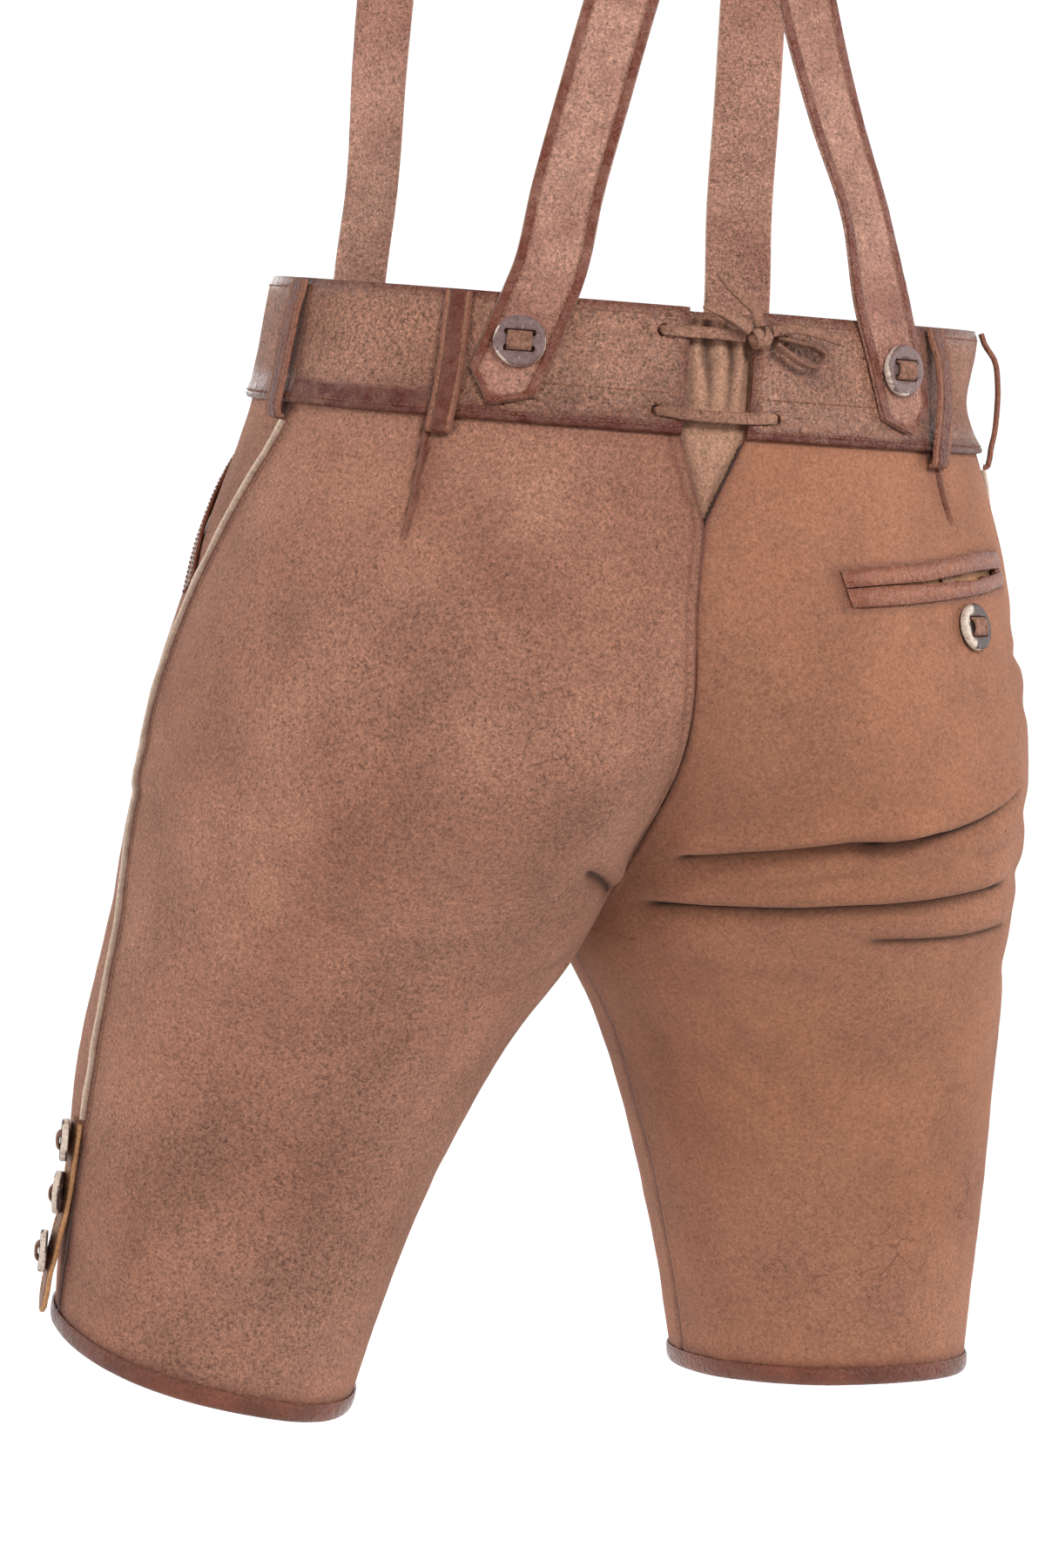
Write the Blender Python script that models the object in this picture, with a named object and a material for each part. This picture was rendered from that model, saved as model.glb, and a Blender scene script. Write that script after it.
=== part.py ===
"""Suede lederhosen as worn: knee-length leather breeches with crossed braces.

Metres, +Z up.  The front faces -Y and the wearer's left is +X.  The origin is the centre
of the waistband's top edge, where the wearer's waist holds the garment up.

Every leather piece is laid out on one surface, the outer face of the breeches.  A place on
it is a side (LEFT or RIGHT of the wearer), a turn in degrees (0 at the side of the body,
90 at the seat, 180 at the inseam, negative round the front) and a height z.  A last number,
out, is the distance outwards from that face.
"""
import math
from collections import namedtuple

import bmesh
import bpy
import numpy as np
from mathutils import Matrix, Vector

LEFT, RIGHT = 1, -1
SIDE_NAMES = {LEFT: "L", RIGHT: "R"}

# ------------------------------------------------------------------ driving sizes

SUEDE = 0.0022               # leather of the panels
GAP = 0.0004                 # daylight between two pieces that are sewn together
HALF_SEAM = 0.0002           # each panel stops this far from the line of its seam

BAND_TALL = 0.060            # waistband
BAND_FACE = 0.0027           # its outer face, out from the panels
BAND_BACK = -0.0012          # its inner face
BAND_ROLL = 0.0036           # turned lower edge, a little prouder
PANEL_TOP = -0.0538          # the panels run up under the band to here
CROTCH = -0.312
HEM = -0.5355                # lower edge of the panels, before the legs lean
HEM_TALL = 0.0078            # how far the binding reaches up from it

NOTCH_HALF = 0.0165          # half the opening between the band's ends at centre back
NOTCH_TIP = -0.101
EYELET_X = 0.030
EYELET_UPPER = -0.0120
EYELET_LOWER = -0.0500
EYELET_WIDE = 0.0060

STRAP_WIDE = 0.0345
STRAP_THICK = 0.0026
STRAP_LEAN = 18.0            # degrees that a brace leans in on the back band
THONG_WIDE = 0.0055          # lace
THONG_THICK = 0.0018

BUTTON = 0.0245              # horn buttons of the braces
POCKET_BUTTON = 0.0230
KNEE_BUTTON = 0.0212
BUTTON_THICK = 0.0038
SLOT_APART = 0.0075          # two slots in each button, between centre lines
SLOT_TALL = 0.0028

SLIT_TOP = -0.4340           # side slit above the hem, closed by the knee placket
PLACKET_WIDE = 0.0150

# ------------------------------------------------------------------ cut of the breeches

Ring = namedtuple("Ring", "z x_out x_in x_mid y_back y_front y_mid seam")

# One leg and half of the body, ring by ring.  x_out and x_in are the ring's reach outwards
# and inwards (past the middle plane above the crotch), x_mid where it is deepest, seam the
# turn of the side seam, and the leans lower a leg's inner side, as metres for each metre.
RINGS = (
    Ring(0.030, 0.174, -0.174, 0.000, 0.125, -0.128, 0.000, 14.0),
    Ring(0.000, 0.176, -0.176, 0.000, 0.127, -0.129, 0.000, 14.0),
    Ring(-0.060, 0.184, -0.165, 0.000, 0.137, -0.132, 0.001, 14.0),
    Ring(-0.120, 0.201, -0.100, 0.018, 0.153, -0.134, 0.003, 3.0),
    Ring(-0.183, 0.217, -0.075, 0.050, 0.160, -0.135, -0.002, -3.0),
    Ring(-0.216, 0.222, -0.045, 0.070, 0.156, -0.138, -0.009, -4.0),
    Ring(-0.255, 0.226, -0.020, 0.090, 0.139, -0.138, -0.013, -4.0),
    Ring(-0.285, 0.228, -0.008, 0.103, 0.119, -0.136, -0.016, -3.0),
    Ring(CROTCH, 0.230, 0.0003, 0.114, 0.102, -0.134, -0.018, -1.0),
    Ring(-0.360, 0.235, 0.032, 0.132, 0.080, -0.134, -0.027, 3.0),
    Ring(-0.420, 0.240, 0.060, 0.149, 0.060, -0.131, -0.036, 6.0),
    Ring(-0.480, 0.241, 0.080, 0.160, 0.047, -0.123, -0.039, 3.0),
    Ring(-0.545, 0.242, 0.096, 0.169, 0.036, -0.113, -0.040, -3.0),
)
FULLNESS = 2.2               # 2 gives elliptical rings, more gives squarer ones

# How each leg hangs below the crotch: its inner side leans down and its back or its front
# hangs lower (both in metres for each metre), and the whole leg hangs lower by drop.
Hang = namedtuple("Hang", "z lean pitch drop")
HANG = {
    LEFT: (Hang(CROTCH, 0.00, 0.00, 0.0), Hang(-0.360, 0.08, -0.03, 0.0008),
           Hang(-0.420, 0.13, -0.07, 0.0026), Hang(-0.480, 0.16, -0.11, 0.0044),
           Hang(-0.545, 0.19, -0.13, 0.0050)),
    RIGHT: (Hang(CROTCH, 0.00, 0.00, 0.0), Hang(-0.360, 0.02, 0.02, 0.0010),
            Hang(-0.420, 0.03, 0.04, 0.0030), Hang(-0.480, 0.04, 0.07, 0.0052),
            Hang(-0.545, 0.04, 0.08, 0.0060)),
}

# The seat seam wanders to the wearer's left: height and shift.
Sway = namedtuple("Sway", "z shift")
SEAT_SWAY = (Sway(0.030, 0.0), Sway(-0.030, 0.0), Sway(-0.060, 0.003), Sway(-0.100, 0.008),
             Sway(-0.140, 0.0105), Sway(-0.180, 0.007), Sway(-0.220, 0.002),
             Sway(-0.260, 0.0), Sway(-0.545, 0.0))
SWAY_REACH = 0.120

# Folds run from one place to another; sag lowers their middle, and the leather above
# rolls over the fold by bulge.
Fold = namedtuple("Fold", "side turn_a z_a turn_b z_b sag depth width bulge")
FOLDS = (
    Fold(RIGHT, 139, -0.266, 70, -0.241, 0.000, 0.0080, 0.0060, 0.0045),
    Fold(RIGHT, 92, -0.2520, 38, -0.218, -0.004, 0.0045, 0.0060, 0.0030),
    Fold(RIGHT, 152, -0.291, 42, -0.268, -0.004, 0.0055, 0.0065, 0.0030),
    Fold(RIGHT, 92, -0.300, 40, -0.292, -0.002, 0.0030, 0.0060, 0.0015),
    Fold(LEFT, 150, -0.286, 118, -0.270, 0.000, 0.0035, 0.0060, 0.0020),
    Fold(LEFT, -142, -0.270, -92, -0.248, 0.004, 0.0040, 0.0070, 0.0020),
    Fold(RIGHT, -140, -0.266, -86, -0.244, 0.004, 0.0045, 0.0070, 0.0020),
    Fold(RIGHT, -146, -0.296, -84, -0.290, 0.003, 0.0030, 0.0070, 0.0015),
)

# Soft hollows: a place, how far it reaches round and up or down, and its depth.
Hollow = namedtuple("Hollow", "side turn z reach_turn reach_z depth")
HOLLOWS = (
    Hollow(RIGHT, 17, -0.036, 22, 0.020, 0.0070),
    Hollow(RIGHT, 20, -0.146, 12, 0.010, 0.0020),
)


def smooth(knots, values, at):
    """Cubic curve through values at rising knots, held level beyond the last ones."""
    knots = np.asarray(knots, float)
    values = np.asarray(values, float)
    steps = np.diff(knots)
    rises = np.diff(values) / steps
    inner = (rises[:-1] * steps[1:] + rises[1:] * steps[:-1]) / (steps[:-1] + steps[1:])
    slopes = np.concatenate((rises[:1], inner, rises[-1:]))
    i = np.clip(np.searchsorted(knots, at) - 1, 0, len(steps) - 1)
    h = steps[i]
    f = np.clip((at - knots[i]) / h, 0.0, 1.0)
    start = values[i] * (1 + 2 * f) * (1 - f) ** 2 + h * slopes[i] * f * (1 - f) ** 2
    end = values[i + 1] * f * f * (3 - 2 * f) - h * slopes[i + 1] * f * f * (1 - f)
    return start + end


def fade(amount):
    """0 to 1 with soft ends."""
    f = np.clip(amount, 0.0, 1.0)
    return f * f * (3 - 2 * f)


def ring_at(z):
    """The ring at any height, between the rows of RINGS."""
    rows = np.array(RINGS)[::-1]
    return Ring(*(smooth(rows[:, 0], rows[:, k], z) for k in range(len(Ring._fields))))


def body(side, turn, z):
    """Outer face of the breeches before its folds."""
    turn, z = np.broadcast_arrays(np.asarray(turn, float), np.asarray(z, float))
    ring = ring_at(z)
    c = np.cos(np.radians(turn))
    s = np.sin(np.radians(turn))
    reach_x = np.where(c > 0, ring.x_out - ring.x_mid, ring.x_mid - ring.x_in)
    reach_y = np.where(s > 0, ring.y_back - ring.y_mid, ring.y_mid - ring.y_front)
    across = reach_x * np.sign(c) * np.abs(c) ** (2 / FULLNESS)
    y = ring.y_mid + reach_y * np.sign(s) * np.abs(s) ** (2 / FULLNESS)
    x = side * (ring.x_mid + across)
    sway = np.array(SEAT_SWAY)[::-1]
    seat = fade(y / 0.080) * np.exp(-(x / SWAY_REACH) ** 2)
    x = x + smooth(sway[:, 0], sway[:, 1], z) * seat
    rows = np.array(HANG[side])[::-1]
    lean, pitch, drop = (smooth(rows[:, 0], rows[:, k], z) for k in (1, 2, 3))
    return np.stack([x, y, z + lean * across + pitch * (y - ring.y_mid) - drop], axis=-1)


def outward(side, turn, z):
    """Unit normal of the face, away from the body."""
    round_it = body(side, turn + 0.02, z) - body(side, turn - 0.02, z)
    up_it = body(side, turn, z + 0.0001) - body(side, turn, z - 0.0001)
    normal = side * np.cross(round_it, up_it)
    return normal / np.linalg.norm(normal, axis=-1, keepdims=True)


def relief(side, turn, z):
    """Height of folds and hollows over the smooth face."""
    height = np.zeros(np.broadcast(turn, z).shape)
    for fold in FOLDS:
        if fold.side != side:
            continue
        along = (turn - fold.turn_a) / (fold.turn_b - fold.turn_a)
        ends = fade(along / 0.3) * fade((1 - along) / 0.3)
        line = fold.z_a + (fold.z_b - fold.z_a) * along + 4 * fold.sag * along * (1 - along)
        drop = (z - line) / fold.width
        height = height - fold.depth * ends * np.exp(-drop ** 2)
        height = height + fold.bulge * ends * np.exp(-((drop - 2.0) / 1.5) ** 2)
    for hollow in HOLLOWS:
        if hollow.side == side:
            away = ((turn - hollow.turn) / hollow.reach_turn) ** 2
            away = away + ((z - hollow.z) / hollow.reach_z) ** 2
            height = height - hollow.depth * np.exp(-away)
    return height


def layer(side, turn, z, out):
    """Points of the leather's outer face, moved out (or in, where out is negative)."""
    lift = (relief(side, turn, z) + out)[..., None]
    return body(side, turn, z) + outward(side, turn, z) * lift


def turn_at(z, x, front=False):
    """The turn where the ring at z lies x from the middle, at the back or the front."""
    ring = ring_at(z)
    outer = np.clip((x - ring.x_mid) / (ring.x_out - ring.x_mid), 0, 1)
    inner = np.clip((ring.x_mid - x) / np.maximum(ring.x_mid - ring.x_in, 1e-6), 0, 1)
    near = np.degrees(np.arccos(np.where(x > ring.x_mid, outer, inner) ** (FULLNESS / 2)))
    turn = np.where(x > ring.x_mid, near, 180 - near)
    return -turn if front else turn


def centre_point(x, z, out, front=False):
    """A point by its distance x from the centre seam, +x on the wearer's left."""
    side = LEFT if x >= 0 else RIGHT
    return layer(side, float(turn_at(z, abs(x), front)), z, out)


def metres_per_degree(side, turn, z):
    """How far one degree of turn goes round the body."""
    return np.linalg.norm(body(side, turn + 0.5, z) - body(side, turn - 0.5, z), axis=-1)


# ------------------------------------------------------------------ making solids

COLOURS = {                  # sRGB colour and roughness of each finish
    "suede": ("A2735D", 0.90),
    "burnished_edge": ("6B3D2C", 0.45),
    "strap_leather": ("A97B68", 0.60),
    "lace_leather": ("AE816C", 0.80),
    "raw_edge": ("D9BBA0", 0.85),
    "facing_leather": ("B5763F", 0.75),
    "horn": ("5F4B4A", 0.30),
}


def linear(hex_colour):
    """sRGB hex to the linear RGBA that a shader wants."""
    channels = [int(hex_colour[i:i + 2], 16) / 255 for i in (0, 2, 4)]
    return [((c + 0.055) / 1.055) ** 2.4 if c > 0.04045 else c / 12.92 for c in channels] + [1.0]


def material_for(piece, finish):
    """Each piece has a material of its own, in its finish's colour."""
    colour, roughness = COLOURS[finish]
    material = bpy.data.materials.new(piece + "_" + finish)
    material.use_nodes = True
    shader = material.node_tree.nodes["Principled BSDF"]
    shader.inputs["Base Color"].default_value = linear(colour)
    shader.inputs["Roughness"].default_value = roughness
    shader.inputs["Metallic"].default_value = 0.0
    return material


def add_piece(name, shape, finish, sharp=40.0):
    """Turn a bmesh into a named, smooth-shaded object."""
    bmesh.ops.recalc_face_normals(shape, faces=shape.faces)
    mesh = bpy.data.meshes.new(name)
    shape.to_mesh(mesh)
    shape.free()
    mesh.shade_smooth()
    mesh.set_sharp_from_angle(angle=math.radians(sharp))
    piece = bpy.data.objects.new(name, mesh)
    bpy.context.scene.collection.objects.link(piece)
    if finish:
        mesh.materials.append(material_for(name, finish))
    return piece


def wall(name, outer, inner, finish):
    """A closed piece between two grids of points, rows by columns."""
    rows, columns = outer.shape[:2]
    shape = bmesh.new()
    skins = [[[shape.verts.new(point) for point in row] for row in grid] for grid in (outer, inner)]
    for skin in skins:
        for r in range(rows - 1):
            for c in range(columns - 1):
                shape.faces.new((skin[r][c], skin[r][c + 1], skin[r + 1][c + 1], skin[r + 1][c]))
    edge = [(0, c) for c in range(columns)] + [(r, columns - 1) for r in range(1, rows)]
    edge += [(rows - 1, c) for c in range(columns - 2, -1, -1)]
    edge += [(r, 0) for r in range(rows - 2, 0, -1)]
    for (r, c), (next_r, next_c) in zip(edge, edge[1:] + edge[:1]):
        shape.faces.new((skins[0][r][c], skins[0][next_r][next_c],
                         skins[1][next_r][next_c], skins[1][r][c]))
    return add_piece(name, shape, finish)


def loft(name, sections, finish):
    """A closed piece through a row of outlines with the same number of points."""
    shape = bmesh.new()
    hoops = [[shape.verts.new(point) for point in section] for section in sections]
    count = len(hoops[0])
    for hoop, following in zip(hoops, hoops[1:]):
        for k in range(count):
            n = (k + 1) % count
            shape.faces.new((hoop[k], hoop[n], following[n], following[k]))
    shape.faces.new(hoops[0][::-1])
    shape.faces.new(hoops[-1])
    return add_piece(name, shape, finish)


def smooth_path(points, count):
    """Points of a smooth curve through a hand-placed route, evenly along its length."""
    points = np.asarray(points, float)
    lengths = np.linalg.norm(np.diff(points[:, :3], axis=0), axis=1)
    travelled = np.concatenate(([0.0], np.cumsum(lengths)))
    stations = np.linspace(0.0, travelled[-1], count)
    return np.stack([smooth(travelled, points[:, k], stations)
                     for k in range(points.shape[1])], axis=-1)


def directions(path):
    """Unit tangent at each point of a path."""
    ahead = np.gradient(path, axis=0)
    return ahead / np.linalg.norm(ahead, axis=1, keepdims=True)


def ribbon_sections(path, across, half_widths, thick, bend=0.0, lanes=2):
    """Outlines of a flat strip along a path; bend curves it over the body."""
    ahead = directions(path)
    across = across - ahead * np.sum(ahead * across, axis=1, keepdims=True)
    across = across / np.linalg.norm(across, axis=1, keepdims=True)
    face = np.cross(across, ahead)
    half_widths = np.broadcast_to(half_widths, len(path))
    bend = np.broadcast_to(bend, len(path))
    sections = []
    for i, centre in enumerate(path):
        u = np.linspace(-half_widths[i], half_widths[i], lanes)
        drop = bend[i] * u ** 2
        top = [centre + across[i] * a + face[i] * (thick / 2 - d) for a, d in zip(u, drop)]
        low = [centre + across[i] * a - face[i] * (thick / 2 + d) for a, d in zip(u, drop)]
        sections.append(top + low[::-1])
    return sections


def cut(piece, cutter):
    """Cut a piece with a hidden solid, exactly."""
    cutter.hide_render = True
    cutter.display_type = "WIRE"
    boolean = piece.modifiers.new("cut_" + cutter.name, "BOOLEAN")
    boolean.operation = "DIFFERENCE"
    boolean.solver = "EXACT"
    boolean.object = cutter


# ------------------------------------------------------------------ panels

BACK_ROWS = (PANEL_TOP, -0.068, -0.084, NOTCH_TIP, -0.1165, -0.132, -0.148, -0.165, -0.182,
             -0.199, -0.213, -0.225, -0.234, -0.241, -0.247, -0.253, -0.260, -0.267, -0.274,
             -0.280, -0.286, -0.292, -0.298, -0.305, CROTCH, -0.321, -0.337, -0.357, -0.381,
             -0.407, SLIT_TOP, -0.455, -0.483, -0.508, HEM + HEM_TALL, HEM)
FRONT_ROWS = (PANEL_TOP, -0.068, -0.084, NOTCH_TIP, -0.1165, -0.132, -0.153, -0.175, -0.196,
              -0.213, -0.229, -0.241, -0.253, -0.267, -0.280, -0.292, -0.305, CROTCH, -0.321,
              -0.337, -0.357, -0.381, -0.407, SLIT_TOP, -0.465, -0.500, HEM + HEM_TALL, HEM)
BACK_COLUMNS = 14
FRONT_COLUMNS = 11
INSEAM_TURN = 179.92         # leaves half a seam's daylight at the inseam


def notch_half(z):
    """Half the width of the open notch at centre back."""
    return NOTCH_HALF * fade_line((z - NOTCH_TIP) / (-BAND_TALL - NOTCH_TIP))


def fade_line(amount):
    """0 to 1 in a straight line, held beyond both ends."""
    return float(np.clip(amount, 0.0, 1.0))


def panel_turns(z, front, columns):
    """Turns across a panel's row, from the centre seam or inseam to the side seam."""
    start = INSEAM_TURN
    if z > CROTCH:
        start = float(turn_at(z, HALF_SEAM + (0.0 if front else notch_half(z))))
    seam = float(ring_at(z).seam)
    step_back = math.degrees(HALF_SEAM / 0.20)
    if front:
        return np.linspace(-start, seam - step_back, columns)
    return np.linspace(start, seam + step_back, columns)


def panel(name, side, front):
    """Front or back panel of one leg, from the band to the hem."""
    rows = FRONT_ROWS if front else BACK_ROWS
    columns = FRONT_COLUMNS if front else BACK_COLUMNS
    turns = np.array([panel_turns(z, front, columns) for z in rows])
    heights = np.repeat(np.array(rows)[:, None], columns, axis=1)
    return wall(name, layer(side, turns, heights, 0.0), layer(side, turns, heights, -SUEDE), "suede")


# ------------------------------------------------------------------ waistband

BAND_PROFILE = (             # height and distance out, round the band's section
    (-BAND_TALL, GAP + 0.0003), (-BAND_TALL, BAND_ROLL - 0.0006), (-0.0588, BAND_ROLL),
    (-0.0560, BAND_ROLL), (-0.0545, BAND_FACE), (-0.0280, BAND_FACE), (-0.0008, BAND_FACE),
    (0.0, BAND_FACE - 0.0006), (0.0, BAND_BACK), (-0.0280, BAND_BACK),
    (-0.0526, BAND_BACK), (-0.0532, GAP + 0.0003),
)
BAND_SEAM = 14.0             # turn of the seam between the back and front of the band
BAND_COLUMNS = 13


def waistband(name, side, front):
    """One quarter of the waistband, its lower inside rebated over the panel's top."""
    end = HALF_SEAM if front else NOTCH_HALF
    sections = []
    for share in np.linspace(0.0, 1.0, BAND_COLUMNS):
        section = []
        for z, out in BAND_PROFILE:
            seam = BAND_SEAM + (-0.07 if front else 0.07)
            start = float(turn_at(z, end, front))
            section.append(layer(side, start + (seam - start) * share, z, out))
        sections.append(section)
    return loft(name, sections, "suede")


def round_pin(name, centre, axis, radius, length, sides):
    """A round cutter through the leather."""
    shape = bmesh.new()
    bmesh.ops.create_cone(shape, cap_ends=True, segments=sides, radius1=radius,
                          radius2=radius, depth=length)
    turn_to = Vector((0, 0, 1)).rotation_difference(Vector(axis)).to_matrix().to_4x4()
    bmesh.ops.transform(shape, matrix=Matrix.Translation(Vector(centre)) @ turn_to,
                        verts=shape.verts)
    return add_piece(name, shape, None)


def cut_eyelets(band, side):
    """Two lace holes near the band's back end."""
    for label, z in (("upper", EYELET_UPPER), ("lower", EYELET_LOWER)):
        turn = float(turn_at(z, EYELET_X))
        pin = round_pin(f"cutter_eyelet_{label}_{SIDE_NAMES[side]}",
                          layer(side, turn, z, 0.0), outward(side, turn, z),
                          EYELET_WIDE / 2, 0.014, 10)
        cut(band, pin)


# ------------------------------------------------------------------ gusset behind the notch

GUSSET_TOP = -0.0050
GUSSET_FOOT = -0.1090
GUSSET_THICK = 0.0015
GUSSET_OUT = -SUEDE - 0.0005
GATHER_WAVES = 6
GATHER_HIGH = 0.0016


def back_gusset():
    """Soft suede behind the notch, gathered towards its top, held under both edges."""
    outer, inner = [], []
    for z in np.linspace(GUSSET_TOP, GUSSET_FOOT, 10):
        half = 0.0262 - 0.0200 * fade_line((-0.060 - z) / 0.049)
        row_out, row_in = [], []
        open_half = notch_half(z) - 0.0015
        for share in np.linspace(-1.0, 1.0, 21):
            x = share * half
            showing = fade_line((open_half - abs(x)) / 0.004)
            wave = 0.5 + 0.5 * math.cos(GATHER_WAVES * math.pi * share)
            gather = GATHER_HIGH * wave * showing * (1 - 0.6 * fade_line(-z / 0.09))
            row_out.append(centre_point(x, z, GUSSET_OUT + gather))
            row_in.append(centre_point(x, z, GUSSET_OUT + gather - GUSSET_THICK))
        outer.append(row_out)
        inner.append(row_in)
    return wall("back_gusset", np.array(outer), np.array(inner), "suede")


# ------------------------------------------------------------------ lace and its bow

Thread = namedtuple("Thread", "x z out width roll")
KNOT_X = -0.0165
KNOT_Z = -0.0130
KNOT_OUT = 0.0080
KNOT_SIZE = (0.0128, 0.0104, 0.0098)     # along the band, upwards, outwards
LACE_OUT = BAND_FACE + GAP + THONG_THICK / 2 + 0.0006
INSIDE = BAND_BACK - GAP - THONG_THICK / 2 - 0.0005


def lace_side():
    """The lace at one pair of eyelets: in at the upper hole, down inside, out below."""
    hole = 0.0032            # the thong is squeezed narrow in a hole
    return [
        Thread(0.0220, EYELET_UPPER, LACE_OUT, THONG_WIDE, 0),
        Thread(0.0270, EYELET_UPPER, LACE_OUT, 0.0040, 0),
        Thread(0.0298, EYELET_UPPER, 0.0030, hole, 0),
        Thread(0.0301, EYELET_UPPER, 0.0002, hole, 45),
        Thread(0.0300, EYELET_UPPER - 0.0012, INSIDE, hole, 90),
        Thread(0.0300, EYELET_UPPER - 0.0080, INSIDE, THONG_WIDE, 90),
        Thread(0.0300, EYELET_LOWER + 0.0080, INSIDE, THONG_WIDE, 90),
        Thread(0.0300, EYELET_LOWER + 0.0012, INSIDE, hole, 90),
        Thread(0.0301, EYELET_LOWER, 0.0002, hole, 45),
        Thread(0.0298, EYELET_LOWER, 0.0030, hole, 0),
        Thread(0.0270, EYELET_LOWER, LACE_OUT, 0.0040, 0),
        Thread(0.0220, EYELET_LOWER - 0.0004, LACE_OUT, THONG_WIDE, 0),
    ]


def lace_route():
    """Knot to the left eyelets, across below, up inside on the right, back to the knot."""
    left = lace_side()
    right = [Thread(-t.x, t.z, t.out, t.width, -t.roll) for t in reversed(left)]
    start = [Thread(KNOT_X + 0.0068, KNOT_Z + 0.0006, 0.0052, THONG_WIDE, 0),
             Thread(0.0040, EYELET_UPPER, 0.0052, THONG_WIDE, 0)]
    across = [Thread(0.0, EYELET_LOWER - 0.0012, LACE_OUT + 0.0006, THONG_WIDE, 0)]
    end = [Thread(KNOT_X - 0.0068, KNOT_Z - 0.0002, 0.0050, 0.0048, 0)]
    return start + left + across + right[:-1] + end


def lace():
    """The thong that draws the notch together."""
    route = []
    for thread in lace_route():
        point = centre_point(thread.x, thread.z, thread.out)
        turned = math.radians(thread.roll)
        up = np.array([0.0, 0.0, math.cos(turned)])
        route.append(np.concatenate((point, up + [math.sin(turned), 0, 0], [thread.width / 2])))
    path = smooth_path(route, 70)
    sections = ribbon_sections(path[:, :3], path[:, 3:6], path[:, 6], THONG_THICK)
    return loft("lace", sections, "lace_leather")


# Loops and tails of the bow: distance from the centre seam, height, distance out, and how
# much the thong's width stands out from the band (0 flat, 1 on edge).
Bow = namedtuple("Bow", "x z out on_edge")
BOW = {
    "lace_loop_left": (
        Bow(-0.0098, -0.0098, 0.0112, 0), Bow(-0.0035, -0.0062, 0.0132, 0),
        Bow(0.0040, -0.0020, 0.0130, 0), Bow(0.0076, 0.0000, 0.0106, 0),
        Bow(0.0050, -0.0012, 0.0080, 0), Bow(-0.0030, -0.0052, 0.0076, 0),
        Bow(-0.0094, -0.0086, 0.0082, 0)),
    "lace_loop_right": (
        Bow(-0.0236, -0.0155, 0.0094, 1), Bow(-0.0310, -0.0202, 0.0096, 1),
        Bow(-0.0395, -0.0245, 0.0098, 1), Bow(-0.0465, -0.0235, 0.0098, 1),
        Bow(-0.0487, -0.0190, 0.0098, 1), Bow(-0.0440, -0.0157, 0.0096, 1),
        Bow(-0.0350, -0.0140, 0.0094, 1), Bow(-0.0240, -0.0122, 0.0094, 1)),
    "lace_tail_left": (
        Bow(-0.0150, -0.0080, 0.0112, 0), Bow(-0.0128, 0.0010, 0.0078, 0),
        Bow(-0.0075, 0.0060, 0.0066, 0), Bow(0.0000, 0.0120, 0.0078, 0),
        Bow(0.0055, 0.0172, 0.0092, 0)),
    "lace_tail_right": (
        Bow(-0.0200, -0.0098, 0.0132, 0), Bow(-0.0290, -0.0078, 0.0146, 0),
        Bow(-0.0400, -0.0088, 0.0152, 0), Bow(-0.0545, -0.0118, 0.0140, 0)),
}


def bow_strand(name, places):
    """One loop or tail of the bow."""
    route = []
    for place in places:
        turn = float(turn_at(place.z, abs(place.x)))
        side = LEFT if place.x >= 0 else RIGHT
        point = layer(side, turn, place.z, place.out)
        route.append(np.concatenate((point, outward(side, turn, place.z), [place.on_edge])))
    path = smooth_path(route, 15)
    flat = np.cross(directions(path[:, :3]), path[:, 3:6])
    on_edge = path[:, 6:7]
    across = flat * (1 - on_edge) + path[:, 3:6] * on_edge
    sections = ribbon_sections(path[:, :3], across, THONG_WIDE / 2, THONG_THICK)
    return loft(name, sections, "lace_leather")


def knot():
    """The tied middle of the bow, a rounded lump."""
    side = RIGHT
    turn = float(turn_at(KNOT_Z, -KNOT_X))
    out = Vector(outward(side, turn, KNOT_Z))
    up = (Vector((0, 0, 1)) - out * out.z).normalized()
    right = up.cross(out)
    shape = bmesh.new()
    bmesh.ops.create_uvsphere(shape, u_segments=10, v_segments=7, radius=0.5)
    place = Matrix((right, up, out)).transposed().to_4x4()
    place.translation = Vector(layer(side, turn, KNOT_Z, KNOT_OUT))
    bmesh.ops.transform(shape, matrix=place @ Matrix.Diagonal((*KNOT_SIZE, 1.0)), verts=shape.verts)
    return add_piece("lace_knot", shape, "lace_leather", sharp=70)


# ------------------------------------------------------------------ belt loops

BeltLoop = namedtuple("BeltLoop", "name side turn stand_off")
BELT_LOOPS = (
    BeltLoop("belt_loop_back_L", LEFT, 49.0, 0.0010),
    BeltLoop("belt_loop_back_R", RIGHT, 49.5, 0.0060),
    BeltLoop("belt_loop_side_L", LEFT, 10.5, 0.0022),
    BeltLoop("belt_loop_side_R", RIGHT, 19.0, 0.0125),
    BeltLoop("belt_loop_front_L", LEFT, -38.0, 0.0040),
    BeltLoop("belt_loop_front_R", RIGHT, -38.0, 0.0040),
)
LOOP_WIDE = 0.0130
LOOP_THICK = 0.0022
LOOP_ROUTE = (               # height, distance out, share of the stand-off
    (-0.0012, 0.0043, 0.0), (-0.0060, 0.0044, 0.15), (-0.0150, 0.0048, 0.65),
    (-0.0270, 0.0048, 1.0), (-0.0400, 0.0048, 1.0), (-0.0510, 0.0050, 0.60),
    (-0.0590, 0.0053, 0.20), (-0.0645, 0.0048, 0.03), (-0.0672, 0.0032, 0.0),
    (-0.0668, 0.0018, 0.0),
)


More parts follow.
